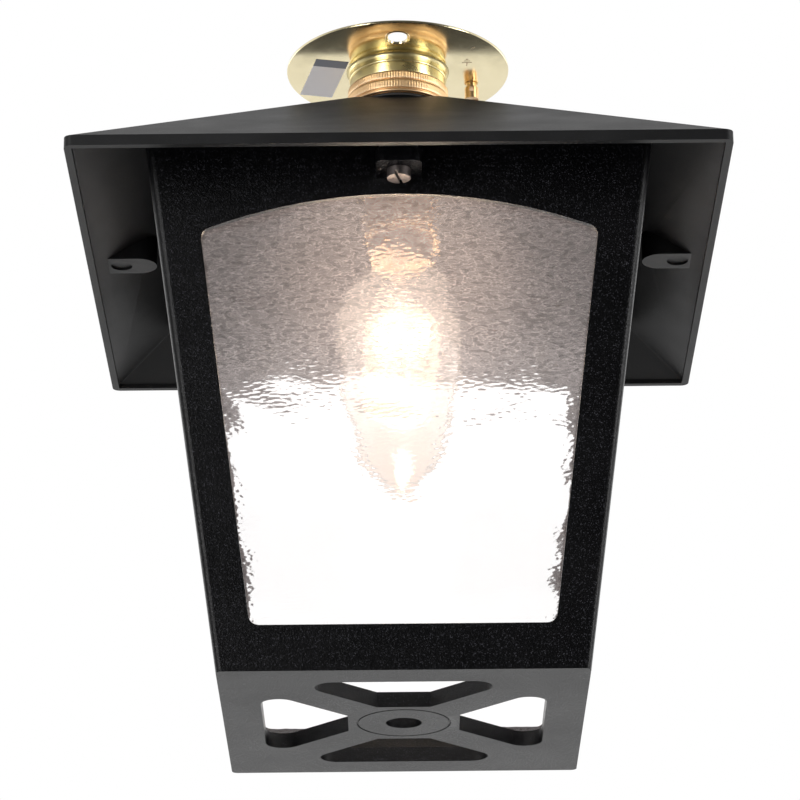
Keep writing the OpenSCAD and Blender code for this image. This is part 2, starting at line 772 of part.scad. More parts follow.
module cap_contacts() {
  color("#a8a49a") for (end = [-1, 1])
    translate([0, end * contact_gap / 2, cap_top - insulator_t])
      cylinder(d = contact_d - 2 * running, h = contact_rise + insulator_t);
}

// The bulb's outer radius at a depth below the neck's top: a neck, a shoulder that swells
// to the belly as a power of a sine, then a candle's long and rounded nose
function bulb_r(z, wall) =
  z > cap_end ? neck_d / 2 - wall :
  z > belly_z ? neck_d / 2 - wall + (bulb_d - neck_d) / 2
    * pow(sin(90 * (cap_end - z) / (cap_end - belly_z)), 1.3) :
  (bulb_d / 2 - wall) * pow(max(0, 1 - pow((belly_z - z) / (belly_z - lamp_tip - wall), 1.9)), 0.55);

module lamp_glass() {
  steps = 24;
  outside = bulb_profile(0, steps);
  inside = bulb_profile(glass_t, steps);
  color("#e8edee", 0.35) rotate_extrude($fn = 96)
    polygon(concat(outside, [for (i = [len(inside) - 1:-1:0]) inside[i]]));
}

// The neck's top, then points from the cap's end down to the tip, closer together towards the tip
function bulb_profile(wall, steps) = concat([[neck_d / 2 - wall, neck_top]], [
  for (i = [0:steps])
    let (u = sin(90 * i / steps), z = cap_end - slit - (cap_end - slit - lamp_tip - wall) * u)
    [i == steps ? 0 : i == 0 ? neck_d / 2 - wall : bulb_r(z, wall), z]]);

module lamp_stem() {
  flare_d = neck_d - 2 * glass_t - 2 * running;
  color("#e8edee", 0.5) {
    translate([0, 0, neck_top - 2]) cylinder(d = flare_d, h = 1.5);
    translate([0, 0, stem_end]) cylinder(d = 5, h = neck_top - 2 - stem_end);
    translate([0, 0, stem_end]) sphere(d = stem_bead_d);
  }
}

// Three wires from the stem's end out to the filament's ring
module support_wires() {
  rise = stem_end - belly_z;
  lean = atan2(filament_r, rise);
  start = stem_bead_d / 2;
  color("#8d8a84") for (a = [0, 90, 180]) rotate([0, 0, a]) translate([0, 0, stem_end])
    rotate([0, 180 - lean, 0]) translate([0, 0, start])
      cylinder(d = support_wire, h = norm([filament_r, rise]) - start - filament_wire / 2 - slit / 2);
}

module filament() {
  color("#ffb347") translate([0, 0, belly_z]) rotate_extrude(angle = 180)
    translate([filament_r, 0]) circle(d = filament_wire, $fn = 24);
}

ceiling_plate();
plain_label();
earth_post();
earth_screw();
holder_cover();
barrel_ring();
holder_barrel();
insulating_core();
for (i = [0, 1]) {
  terminal(2 * i - 1);
  terminal_screw(2 * i - 1);
  spring(2 * i - 1);
  plunger(2 * i - 1);
  body_screw(2 * i);
}
upper_shade_ring();
upper_washer();
lower_washer();
lower_shade_ring();
roof();
body();
for (side = [0:3]) {
  pane(side);
  clips(side);
  clip_screws(side);
}
lamp_cap();
cap_insulator();
cap_contacts();
lamp_glass();
lamp_stem();
support_wires();
filament();
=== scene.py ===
# %% [markdown]
# # A porch ceiling lantern
# A square lantern hangs from a brass bayonet lampholder under a porch ceiling. Its black roof and body
# are castings, its four panes are rippled glass, and a clear candle lamp glows inside. The exact solids
# come first as a frame, and every piece made here sits where that frame says.

# %% Load the frame
import json
import math
import bmesh
import bpy
import numpy as np
from mathutils import Matrix, Vector

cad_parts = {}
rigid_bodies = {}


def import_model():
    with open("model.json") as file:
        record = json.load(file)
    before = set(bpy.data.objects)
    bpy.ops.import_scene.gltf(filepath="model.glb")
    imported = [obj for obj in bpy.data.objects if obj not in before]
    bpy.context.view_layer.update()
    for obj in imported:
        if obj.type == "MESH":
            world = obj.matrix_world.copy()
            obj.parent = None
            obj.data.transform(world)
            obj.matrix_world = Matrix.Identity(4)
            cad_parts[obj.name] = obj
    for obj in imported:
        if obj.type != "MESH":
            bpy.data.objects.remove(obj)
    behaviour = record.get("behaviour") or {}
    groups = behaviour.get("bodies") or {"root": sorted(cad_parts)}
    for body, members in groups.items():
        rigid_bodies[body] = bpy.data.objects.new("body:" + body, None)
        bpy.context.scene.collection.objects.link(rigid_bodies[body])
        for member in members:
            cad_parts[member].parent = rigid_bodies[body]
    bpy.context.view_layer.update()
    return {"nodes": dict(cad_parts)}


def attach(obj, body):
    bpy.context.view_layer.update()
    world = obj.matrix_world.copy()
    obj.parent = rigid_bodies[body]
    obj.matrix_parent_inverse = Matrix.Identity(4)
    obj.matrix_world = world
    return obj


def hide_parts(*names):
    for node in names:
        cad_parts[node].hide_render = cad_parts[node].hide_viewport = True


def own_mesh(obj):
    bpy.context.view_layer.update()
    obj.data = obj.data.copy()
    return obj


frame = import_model()

# %% [markdown]
# The numbers below are written in millimetres, as a maker would write them, and turned into metres when a
# mesh is made. Heights count down from the ceiling, because that is where the lantern hangs from.

# %% Sizes in millimetres
MM = 0.001
PLATE_UNDER = -0.9          # underside of the ceiling plate
COVER_END = -8.5            # floor of the holder's cover
COVER_R = 17.15
BARREL_RING_END = -11.5
UPPER_RING_END = -16.9
ROOF_TOP = -17.8
LOWER_RING_TOP = -24.8
THREAD_R = 14.0             # running radius of the rings on the thread
BASE = -245.848             # the body's bottom face
BODY_W = 121.9
TAPER = math.radians(7.76)  # lean of each face
WALL = 3.0
PANE_T = 3.0
CAP_TOP, CAP_END, LAMP_TIP = -52.3, -76.0, -164.0
BELLY_Z = -103.5            # the bulb's widest place, where its filament is
print("sizes set, lantern", round(-BASE, 1), "mm high")

# %% [markdown]
# ## The camera
# A picture of an object looks right only from the place it was taken from. This lantern was seen from about
# 1.2 m in front and 0.6 m below the ceiling, through a long lens, tilted up by 21 degrees. The axes are
# worked out from yaw, pitch and roll, and put in a matrix, which says the whole pose at once.

# %% Camera
def camera_axes(yaw, pitch, roll):
    """Right, up and forward unit vectors. Forward is turned by yaw round +Z from +Y and raised by pitch;
    right is level, up is right x forward, and both then turn by roll round forward."""
    forward = Vector((math.sin(yaw) * math.cos(pitch), math.cos(yaw) * math.cos(pitch), math.sin(pitch)))
    level = Vector((math.cos(yaw), -math.sin(yaw), 0.0))
    upright = level.cross(forward)
    right = level * math.cos(roll) + upright * math.sin(roll)
    up = upright * math.cos(roll) - level * math.sin(roll)
    return right, up, forward


def place_camera(at, yaw, pitch, roll, lens):
    """A camera with its columns right, up and backward, at a point in mm, its angles in degrees."""
    data = bpy.data.cameras.new("camera")
    data.sensor_width, data.lens = 36.0, lens
    data.clip_start, data.clip_end = 0.05, 200.0
    camera = bpy.data.objects.new("camera", data)
    bpy.context.collection.objects.link(camera)
    right, up, forward = camera_axes(*map(math.radians, (yaw, pitch, roll)))
    pose = Matrix((right, up, -forward)).transposed().to_4x4()
    pose.translation = Vector(at) * MM
    camera.matrix_world = pose
    bpy.context.scene.camera = camera
    return camera


camera = place_camera((-0.7, -1212.3, -601.35), yaw=0.019, pitch=21.316, roll=-0.535, lens=167.06)
print("camera at", [round(v, 3) for v in camera.matrix_world.translation])

# %% [markdown]
# ## Shared effects
# Real finishes are never one flat colour. Powder coat has an orange-peel grain with bright flakes, turned
# brass has fine rings, and old metal has blotches and paler edges. Each such effect is a shader node group
# with named sockets, made once and placed in every material that needs it, with its own values.

# %% Node helpers
def node(tree, kind, settings=None, **inputs):
    """A shader node with its settings, and with each input set to a value or linked to a socket. An input
    goes by its name, with _ for a space, or by _ and its number."""
    made = tree.nodes.new("ShaderNode" + kind)
    for key, value in (settings or {}).items():
        setattr(made, key, value)
    for key, value in inputs.items():
        socket = made.inputs[int(key[1:]) if key[1:].isdigit() else key.replace("_", " ")]
        if isinstance(value, bpy.types.NodeSocket):
            tree.links.new(value, socket)
        else:
            socket.default_value = value
    return made


def maths(tree, operation, a, b=0.0):
    """One arithmetic node. a and b are numbers or sockets."""
    return node(tree, "Math", {"operation": operation}, _0=a, _1=b).outputs[0]


def times(tree, a, b):
    """a x b"""
    return maths(tree, "MULTIPLY", a, b)


def plus(tree, a, b):
    """a + b"""
    return maths(tree, "ADD", a, b)


def minus(tree, a, b):
    """a - b"""
    return maths(tree, "SUBTRACT", a, b)


def off_half(tree, a):
    """|a - 0.5|"""
    return maths(tree, "ABSOLUTE", minus(tree, a, 0.5))


def span(tree, value, low, high, to_low=0.0, to_high=1.0, **settings):
    """Maps value from low..high to to_low..to_high, clamped."""
    return node(tree, "MapRange", settings, Value=value, From_Min=low, From_Max=high,
                To_Min=to_low, To_Max=to_high).outputs["Result"]


def noise(tree, place, scale, detail, distortion=0.0):
    """A soft noise from 0 to 1."""
    made = node(tree, "TexNoise", Vector=place, Scale=scale, Detail=detail, Distortion=distortion)
    return made.outputs["Fac"]


def axes(tree, place):
    """The X, Y and Z of a place."""
    return node(tree, "SeparateXYZ", Vector=place).outputs


def off_axis(tree, place):
    """The distance from the Z axis."""
    x, y, _ = axes(tree, place)
    return maths(tree, "SQRT", plus(tree, times(tree, x, x), times(tree, y, y)))


def make_group(name, inputs, outputs, build):
    """A shader group of Vector and inputs, which is {name: default}. build takes the group's tree and its
    input sockets, and gives the sockets that feed the outputs."""
    group = bpy.data.node_groups.new(name, "ShaderNodeTree")
    group.interface.new_socket("Vector", in_out="INPUT", socket_type="NodeSocketVector")
    for label, default in inputs.items():
        socket = group.interface.new_socket(label, in_out="INPUT", socket_type="NodeSocketFloat")
        socket.default_value = default
    for label in outputs:
        group.interface.new_socket(label, in_out="OUTPUT", socket_type="NodeSocketFloat")
    given, out = group.nodes.new("NodeGroupInput"), group.nodes.new("NodeGroupOutput")
    results = build(group, *(given.outputs[label] for label in ("Vector", *inputs)))
    for label, result in zip(outputs, results):
        group.links.new(result, out.inputs[label])
    print("made", group.name)
    return group


print("node helpers ready")

# %% Grain: the orange peel of a powder coat, or the bite of a casting
def grain(tree, place, scale):
    """Height = 0.65 x noise at Scale + 0.35 x noise at 2.6 Scale. Patch = a slow noise at Scale / 40."""
    wide, fine = noise(tree, place, scale, 2.0), noise(tree, place, times(tree, scale, 2.6), 1.0)
    patch = noise(tree, place, times(tree, scale, 0.025), 3.0)
    return plus(tree, times(tree, wide, 0.65), times(tree, fine, 0.35)), patch


COAT_GRAIN = make_group("coat_grain", {"Scale": 1500.0}, ("Height", "Patch"), grain)

# %% Flakes: the few bright specks in a sparkling coat
def flakes(tree, place, scale, share):
    """Each cell of a Voronoi pattern at Scale gets a random number. Mask is 1 in the cells whose number is
    above 1 - Share, near the cell's middle, and falls to 0 at its edge. Tone is a second random number."""
    cells = node(tree, "TexVoronoi", Vector=place, Scale=scale)
    number, tone, _ = node(tree, "SeparateColor", Color=cells.outputs["Color"]).outputs
    chosen = maths(tree, "GREATER_THAN", number, minus(tree, 1.0, share))
    return times(tree, chosen, span(tree, cells.outputs["Distance"], 0.25, 0.5, 1.0, 0.0)), tone


BRIGHT_FLAKES = make_group("bright_flakes", {"Scale": 1400.0, "Share": 0.1}, ("Mask", "Tone"), flakes)

# %% Rubbed edges: outward edges lose some polish
def rubbed(tree, place, scale, start):
    """Pointiness above Start, spread over 0.06, times a noise at Scale, gives Mask."""
    past = minus(tree, node(tree, "NewGeometry").outputs["Pointiness"], start)
    patch = span(tree, noise(tree, place, scale, 3.0), 0.42, 0.62)
    return [times(tree, span(tree, past, 0.0, 0.06), patch)]


RUBBED_EDGES = make_group("rubbed_edges", {"Scale": 300.0, "Start": 0.52}, ("Mask",), rubbed)

# %% Turning marks: fine rings round the holder's axis
def turning(tree, place, scale):
    """A noise read at (radius, height) round the Z axis, both times Scale, so that its streaks are rings.
    Height is that noise, and Streak a slower one of the same kind."""
    ring = node(tree, "CombineXYZ", X=off_axis(tree, place), Y=axes(tree, place)["Z"]).outputs[0]
    return noise(tree, ring, scale, 2.0), noise(tree, ring, times(tree, scale, 0.15), 2.0)


TURNING_MARKS = make_group("turning_marks", {"Scale": 4000.0}, ("Height", "Streak"), turning)

# %% Bloom: the soft blotches of handled metal, with hairline scratches
def bloom(tree, place, scale):
    """Mask = a soft noise at Scale. Scratch = thin bright lines where a stretched noise crosses 0.5."""
    soft = noise(tree, place, scale, 4.0, 0.6)
    squeezed = node(tree, "Mapping", Vector=place, Rotation=(0.3, 0.5, 0.9), Scale=(1.0, 9.0, 1.0))
    hair = off_half(tree, noise(tree, squeezed.outputs[0], times(tree, scale, 3.0), 1.0))
    return span(tree, soft, 0.35, 0.65), span(tree, hair, 0.0, 0.012, 1.0, 0.0)


METAL_BLOOM = make_group("metal_bloom", {"Scale": 60.0}, ("Mask", "Scratch"), bloom)

# %% [markdown]
# ## Finishes
# A material here starts from one Principled shader, whose uniform values are set on its own sockets. The
# effects then vary only its colour, roughness and bump. All patterns read Object coordinates, which are the
# same as the frame's own, so that nothing slides when a piece moves or the camera turns.

# %% Material helpers
def new_material(name, colour, roughness, metallic=0.0, **values):
    """A material with one Principled shader. values are more of its sockets, with _ for a space."""
    material = bpy.data.materials.new(name)
    material.use_nodes = True
    tree = material.node_tree
    shader = tree.nodes["Principled BSDF"]
    values.update(Base_Color=(*colour, 1.0), Roughness=roughness, Metallic=metallic)
    for key, value in values.items():
        shader.inputs[key.replace("_", " ")].default_value = value
    return material, tree, shader, node(tree, "TexCoord").outputs["Object"]


def feed(tree, shader, **sockets):
    """Links a socket to each named input of the shader, with _ for a space."""
    for key, socket in sockets.items():
        tree.links.new(socket, shader.inputs[key.replace("_", " ")])


def use(tree, group, place, scale, **inputs):
    """The outputs of a group placed in the tree."""
    return node(tree, "Group", {"node_tree": group}, Vector=place, Scale=scale, **inputs).outputs


def blend(tree, factor, low, high):
    """The colour low where factor is 0 and high where it is 1. low and high are colours or sockets."""
    low, high = (c if isinstance(c, bpy.types.NodeSocket) else (*c, 1.0) for c in (low, high))
    return node(tree, "Mix", {"data_type": "RGBA"}, _0=factor, _6=low, _7=high).outputs[2]


def scaled(tree, colour, factor):
    """A colour times a number."""
    return node(tree, "VectorMath", {"operation": "SCALE"}, _0=colour, Scale=factor).outputs[0]


def emboss(tree, height, distance, settings=None, **more):
    """The normal of a surface embossed by height x distance metres. more may give the Normal under it."""
    bump = node(tree, "Bump", settings, Height=height, Distance=distance, Strength=1.0, **more)
    return bump.outputs["Normal"]


print("material helpers ready")

# %% [markdown]
# The castings are powder coated. The body's coat has a fine bright sparkle, and the roof's is plainer and
# less shiny. The coat is nearly black, so most of what is seen is the grain's soft shine.

# %% Black coats
def black_coat(name, colour, roughness, shine, peel, peel_height, flake, share, flake_colour):
    """Black powder coat: grain at the scale peel in the bump, and bright flakes, a share of the cells at the
    scale flake, in the colour and the roughness."""
    material, tree, shader, place = new_material(name, colour, roughness, Specular_IOR_Level=shine)
    coat = use(tree, COAT_GRAIN, place, peel)
    specks = use(tree, BRIGHT_FLAKES, place, flake, Share=share)
    glint = times(tree, specks["Mask"], specks["Tone"])
    base = scaled(tree, colour, span(tree, coat["Patch"], 0.3, 0.7, 0.78, 1.3))
    rough = span(tree, coat["Patch"], 0.3, 0.7, roughness - 0.03, roughness + 0.04)
    feed(tree, shader, Base_Color=blend(tree, glint, base, flake_colour),
         Roughness=minus(tree, rough, times(tree, glint, 0.2)),
         Normal=emboss(tree, coat["Height"], peel_height))
    return material


BODY_BLACK = black_coat("body_black", (0.0007, 0.0007, 0.0010), roughness=0.30, shine=0.20, peel=1700.0,
                        peel_height=0.00016, flake=2600.0, share=0.30, flake_colour=(0.045, 0.045, 0.052))
ROOF_BLACK = black_coat("roof_black", (0.0050, 0.0050, 0.0054), roughness=0.46, shine=0.28, peel=2300.0,
                        peel_height=0.00005, flake=3600.0, share=0.10, flake_colour=(0.022, 0.022, 0.024))
print("made", BODY_BLACK.name, ROOF_BLACK.name)

# %% [markdown]
# Four brasses meet here: the polished pale plate, the yellower cover, the warmer turned rings, and the
# satin cap of the lamp. Polished metal takes its look from what it mirrors, so its roughness stays low and
# the bloom and hairlines only break the reflection up a little.

# %% Brass
DISH_START, DISH_REACH = 0.016, 0.024
RUBBED_BRASS = (0.95, 0.85, 0.62)


def dish(tree, place, depth):
    """The normal of a face that falls back by depth x ((r - DISH_START) / DISH_REACH)^2 beyond DISH_START."""
    past = maths(tree, "DIVIDE", minus(tree, off_axis(tree, place), DISH_START), DISH_REACH)
    fall = maths(tree, "POWER", maths(tree, "MAXIMUM", past, 0.0), 2.0)
    return emboss(tree, fall, depth, {"invert": True})


def brass(name, colour, darker, roughness, marks, marks_height, blotch, dished=0.0):
    """Brass with turned rings in the bump, soft blotches in colour and roughness, and fine scratches. A
    dished one also falls back a little towards its edge, as a pressed disc does."""
    material, tree, shader, place = new_material(name, colour, roughness, 1.0)
    rings = use(tree, TURNING_MARKS, place, marks)
    blots = use(tree, METAL_BLOOM, place, 70.0)
    worn = use(tree, RUBBED_EDGES, place, 500.0)["Mask"]
    stained = blend(tree, times(tree, blots["Mask"], blotch), colour, darker)
    streak = times(tree, span(tree, rings["Streak"], 0.45, 0.7), 0.25)
    streaked = blend(tree, streak, stained, darker)
    rough = span(tree, blots["Mask"], 0.0, 1.0, roughness, roughness * 1.7)
    under = {"Normal": dish(tree, place, dished)} if dished else {}
    feed(tree, shader, Base_Color=blend(tree, times(tree, worn, 0.5), streaked, RUBBED_BRASS),
         Roughness=plus(tree, rough, times(tree, blots["Scratch"], 0.08)),
         Normal=emboss(tree, rings["Height"], marks_height, **under))
    return material


PLATE_BRASS = brass("plate_brass", (0.96, 0.85, 0.56), (0.86, 0.75, 0.46), roughness=0.11, marks=2500.0,
                    marks_height=0.000002, blotch=0.3, dished=0.0011)
COVER_BRASS = brass("cover_brass", (0.82, 0.70, 0.37), (0.66, 0.54, 0.25), roughness=0.24, marks=4000.0,
                    marks_height=0.000004, blotch=0.35)
RING_BRASS = brass("ring_brass", (0.86, 0.60, 0.35), (0.72, 0.46, 0.23), roughness=0.30, marks=6000.0,
                   marks_height=0.000008, blotch=0.45)
CAP_BRASS = brass("cap_brass", (0.80, 0.62, 0.46), (0.62, 0.44, 0.30), roughness=0.30, marks=5000.0,
                  marks_height=0.00001, blotch=0.6)
print("made", PLATE_BRASS.name, COVER_BRASS.name, RING_BRASS.name, CAP_BRASS.name)

# %% [markdown]
# Small parts each have their own stuff: plated steel, solder, rubber, glazed porcelain and the lamp cap's
# black insulator. They are small in the picture, but a close view should still find them finished.

# %% Steel, solder and rubber
def steel(name, colour, roughness):
    """Plated steel or solder: bloom in the colour and roughness and a fine grain in the bump."""
    material, tree, shader, place = new_material(name, colour, roughness, 1.0)
    blot = use(tree, METAL_BLOOM, place, 260.0)["Mask"]
    height = use(tree, COAT_GRAIN, place, 5000.0)["Height"]
    feed(tree, shader, Base_Color=blend(tree, blot, colour, [c * 0.8 for c in colour]),
         Roughness=span(tree, blot, 0.0, 1.0, roughness * 0.8, roughness * 1.4),
         Normal=emboss(tree, height, 0.000006))
    return material


def plain_stuff(name, colour, spread, roughness, peel, peel_height, **values):
    """A non-metal with a little colour spread and a grain at the scale peel in the bump."""
    material, tree, shader, place = new_material(name, colour, roughness, **values)
    coat = use(tree, COAT_GRAIN, place, peel)
    feed(tree, shader, Base_Color=blend(tree, coat["Patch"], [c * (1 - spread) for c in colour], colour),
         Roughness=span(tree, coat["Height"], 0.3, 0.7, roughness * 0.85, roughness * 1.15),
         Normal=emboss(tree, coat["Height"], peel_height))
    return material


BRIGHT_STEEL = steel("bright_steel", (0.60, 0.60, 0.61), 0.26)
WORN_STEEL = steel("worn_steel", (0.22, 0.19, 0.18), 0.46)
DARK_STEEL = steel("dark_steel", (0.10, 0.10, 0.105), 0.40)
SOLDER = steel("solder", (0.56, 0.56, 0.53), 0.38)
WIRE_METAL = steel("wire_metal", (0.50, 0.48, 0.45), 0.3)
WASHER_RUBBER = plain_stuff("washer_rubber", (0.022, 0.021, 0.020), spread=0.3, roughness=0.62, peel=2500.0,
                            peel_height=0.00002)
PORCELAIN = plain_stuff("porcelain", (0.80, 0.77, 0.69), spread=0.06, roughness=0.16, peel=700.0,
                        peel_height=0.00001, Coat_Weight=0.4)
CAP_BLACK = plain_stuff("cap_black", (0.017, 0.013, 0.011), spread=0.25, roughness=0.18, peel=1800.0,
                        peel_height=0.000008)
print("made five metals, rubber, porcelain and the cap's black")

# %% [markdown]
# The sticker is white paper with a plain dark bar across its front end. The bar is drawn by the place along
# the sticker: a Mapping node turns Object coordinates into the sticker's own, and a comparison picks its end.

# %% Paper label
LABEL_AT = (-26.8, 3.8)
LABEL_TURN = math.radians(13)
LABEL_SIZE = (12.0, 29.5)
BAR_LENGTH = 5.4


def label_paper():
    """Glossy paper with faint fibres, and a dark bar over the last millimetres of its front end."""
    material, tree, shader, place = new_material("label_paper", (0.88, 0.85, 0.88), 0.34,
                                                 Specular_IOR_Level=0.9)
    local = node(tree, "Mapping", {"vector_type": "TEXTURE"}, Vector=place,
                 Location=(LABEL_AT[0] * MM, LABEL_AT[1] * MM, 0.0), Rotation=(0.0, 0.0, LABEL_TURN))
    along = axes(tree, local.outputs[0])["Y"]
    bar = maths(tree, "LESS_THAN", along, (BAR_LENGTH - LABEL_SIZE[1] / 2) * MM)
    fibre = use(tree, COAT_GRAIN, place, 2600.0)["Height"]
    paper = blend(tree, fibre, (0.93, 0.90, 0.93), (0.97, 0.95, 0.97))
    feed(tree, shader, Base_Color=blend(tree, bar, paper, (0.085, 0.095, 0.13)),
         Normal=emboss(tree, fibre, 0.00001))
    return material


LABEL_PAPER = label_paper()
print("made", LABEL_PAPER.name)

# %% [markdown]
# The panes are clear glass with a rippled inner face, and the lamp's bulb is thin clear glass. Both keep a
# plain Transmission Weight. The ripples are real geometry, and only a finer crawl of the surface is bump.
# The filament glows. A real lens and real glass scatter some of that glow into a haze round the lamp, which a
# path tracer would need very many samples for, so the glass is given a painted glow of its own, an emission
# that stands in for that haze.
#
# The eye also sees the lamp's glare as a halo on the pane in front of it, and here that halo is painted on
# the panes as an emission. A lantern under a ceiling is looked at from below, so on each pane the painted
# halo's middle lies below the filament's height, on the line down to the viewer. Is Camera Ray keeps it to
# the pane nearest the viewer.

# %% Painted halo on the panes
# The painted glow and its painted glints fade between these heights.
MOTTLE_FADE = (-0.170, -0.145)      # between these heights in metres the mottling fades out downwards
FOOT_DIM = (-0.175, -0.150)         # and between these a pane's own glow dims
SIGHT_SLOPE = 0.41                  # how far the line from filament to viewer falls, for 1 outwards
# Painted halo: each row below is one soft spot of emission on the panes.
HALO = (  # metres below the middle, spread sideways, upwards and downwards, and the light's colour
    (0.0, 0.042, 0.072, 0.022, (3.0, 2.30, 1.98)),
    (0.017, 0.070, 0.026, 0.030, (1.5, 1.4, 1.35)))


def gauss(tree, across, above, wide, high, low):
    """exp(-(across / wide)^2 - v^2), where v is above / high over the middle and above / low under it."""
    u = maths(tree, "DIVIDE", across, wide)
    v = maths(tree, "MAXIMUM", maths(tree, "DIVIDE", above, high), maths(tree, "DIVIDE", above, -low))
    return maths(tree, "EXPONENT", times(tree, plus(tree, times(tree, u, u), times(tree, v, v)), -1.0))


def haloed(tree, place, glow, mottled):
    """A pane's painted glow, dimmed towards its foot, with the painted halo, which only camera rays see: a
    warm middle, and a broad paler band a little lower. The smaller of |x| and |y| is the distance across a
    pane, and the height is counted from BELLY_Z - SIGHT_SLOPE x the larger of them."""
    x, y, z = axes(tree, place)
    x, y = maths(tree, "ABSOLUTE", x), maths(tree, "ABSOLUTE", y)
    fall = times(tree, maths(tree, "MAXIMUM", x, y), SIGHT_SLOPE)
    above = minus(tree, z, minus(tree, BELLY_Z * MM, fall))
    seen = node(tree, "LightPath").outputs["Is Camera Ray"]
    soft = times(tree, seen, plus(tree, times(tree, mottled, 0.45), 0.55))
    both = scaled(tree, glow, span(tree, z, *FOOT_DIM, 0.8, 1.0))
    for below, wide, high, low, light in HALO:
        amount = gauss(tree, maths(tree, "MINIMUM", x, y), plus(tree, above, below), wide, high, low)
        both = node(tree, "VectorMath", {"operation": "MULTIPLY_ADD"}, _0=light,
                    _1=times(tree, amount, soft), _2=both).outputs[0]
    return both


print("halo ready")

# %% Glass and its painted glow
def clear_glass(name, colour, ior, rough, crawl_scale, crawl_height, glow, near, far, warm, cool, mottle,
                halo=False):
    """Clear glass. Its surface's fine crawl is a noise squeezed by a Mapping node. It carries a painted glow
    of the lamp's light, an emission, warm up to near metres from the filament and cooler beyond, to far. The
    painted glow follows the crawl, with thin bright crests where the crawl crosses 0.5, which are painted
    glints, both times the share mottle, and less so low down."""
    material, tree, shader, place = new_material(name, colour, rough, Transmission_Weight=1.0, IOR=ior,
                                                 Specular_IOR_Level=0.35, Emission_Strength=glow)
    crawl = noise(tree, node(tree, "Mapping", Vector=place, Scale=crawl_scale).outputs[0], 1.0, 1.5)
    smear = use(tree, METAL_BLOOM, place, 40.0)["Mask"]
    calm = times(tree, span(tree, crawl, 0.34, 0.66, 1.0 - 0.75 * mottle, 1.0),
                 span(tree, smear, 0.0, 1.0, 0.86, 1.06))
    uneven = plus(tree, calm, span(tree, off_half(tree, crawl), 0.0, 0.034, 2.1 * mottle, 0.0))
    mottled = plus(tree, 1.0, times(tree, minus(tree, uneven, 1.0),
                                    span(tree, axes(tree, place)["Z"], *MOTTLE_FADE, 0.15, 1.0)))
    # Painted glow: warm near the filament, cooler further off.
    away = node(tree, "VectorMath", {"operation": "DISTANCE"}, _0=place, _1=(0.0, 0.0, BELLY_Z * MM))
    painted_glow_near = span(tree, away.outputs["Value"], near, far, 1.0, 0.0, interpolation_type="SMOOTHSTEP")
    light = scaled(tree, blend(tree, painted_glow_near, cool, warm), mottled)
    feed(tree, shader, Roughness=span(tree, smear, 0.0, 1.0, rough, rough + 0.02),
         Normal=emboss(tree, crawl, crawl_height),
         Emission_Color=haloed(tree, place, light, mottled) if halo else light)
    return material


def glowing_wire():
    """A white-hot wire: emission that is yellower where a slow noise is low."""
    material, tree, shader, place = new_material("hot_filament", (0.9, 0.6, 0.3), 0.5,
                                                 Emission_Strength=160.0)
    heat = noise(tree, place, 300.0, 1.0)
    feed(tree, shader, Emission_Color=blend(tree, heat, (1.0, 0.66, 0.36), (1.0, 0.84, 0.62)))
    return material


# Both glasses carry a painted glow of the lamp's light, and the panes also carry the painted halo.
RIPPLED_GLASS = clear_glass("rippled_glass", (0.96, 0.965, 0.965), ior=1.50, rough=0.05,
                            crawl_scale=(330.0, 330.0, 900.0), crawl_height=0.00005, glow=0.10,
                            near=0.074, far=0.090, warm=(0.95, 0.72, 0.62), cool=(0.58, 0.50, 0.49),
                            mottle=0.80, halo=True)
BULB_GLASS = clear_glass("bulb_glass", (0.93, 0.875, 0.835), ior=1.46, rough=0.0,
                         crawl_scale=(120.0, 120.0, 60.0), crawl_height=0.00002, glow=0.07, near=0.012,
                         far=0.066, warm=(1.0, 0.82, 0.66), cool=(0.30, 0.21, 0.16), mottle=0.3)
HOT_FILAMENT = glowing_wire()
print("made", RIPPLED_GLASS.name, BULB_GLASS.name, HOT_FILAMENT.name)

# %% [markdown]
# ## Making meshes from arrays
# Most new pieces are surfaces of two parameters: a profile turned round an axis, a circle carried along a
# path, or a height over a grid. numpy works the points out as whole arrays, and the grid's quads follow
# from the numbering alone. A closed surface has its double points merged and its faces turned outwards.

# %% Grids and pieces
def grid_faces(rows, columns, wrap_rows=False, wrap_columns=False):
    """Quads between neighbouring points of a grid, where point (i, j) has number i x columns + j."""
    i, j = np.meshgrid(np.arange(rows - (not wrap_rows)), np.arange(columns - (not wrap_columns)),
                       indexing="ij")
    i, j = i.ravel(), j.ravel()
    here, below, right = i * columns, (i + 1) % rows * columns, (j + 1) % columns
    return np.stack([here + j, here + right, below + right, below + j], axis=1)


def grid_rim(rows, columns):
    """The numbers of the points along a grid's edge, once round."""
    index = np.arange(rows * columns).reshape(rows, columns)
    return np.concatenate([index[0, :-1], index[:-1, -1], index[-1, :0:-1], index[:0:-1, 0]])


def closed_mesh(name, points, faces):
    """A mesh from an array of points in mm. Merging double points closes its seams and poles, and its faces
    are turned outwards."""
    mesh = bpy.data.meshes.new(name)
    mesh.from_pydata((points * MM).tolist(), [], faces)
    work = bmesh.new()
    work.from_mesh(mesh)
    bmesh.ops.remove_doubles(work, verts=work.verts, dist=1e-7)
    bmesh.ops.recalc_face_normals(work, faces=work.faces)
    work.to_mesh(mesh)
    work.free()
    return mesh


def finish_piece(mesh, material, body, slot, nodes=(), sharp=40.0):
    """An object for a finished mesh, smooth but for edges sharper than sharp degrees, riding on a body."""
    mesh.materials.clear()
    mesh.materials.append(material)
    mesh.shade_smooth()
    mesh.set_sharp_from_angle(angle=math.radians(sharp))
    piece = bpy.data.objects.new(mesh.name, mesh)
    bpy.context.collection.objects.link(piece)
    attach(piece, body)
    if nodes:
        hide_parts(*nodes)
    return piece


def shells(name, parts, *looks, **more):
    """A finished piece of one or more closed shells, each an array of points in mm and its faces."""
    start, points, faces = 0, [], []
    for part_points, part_faces in parts:
        points.append(part_points.reshape(-1, 3))
        faces.append(part_faces + start)
        start += len(points[-1])
    mesh = closed_mesh(name, np.concatenate(points), np.concatenate(faces).tolist())
    return finish_piece(mesh, *looks, **more)


print("grid helpers ready")

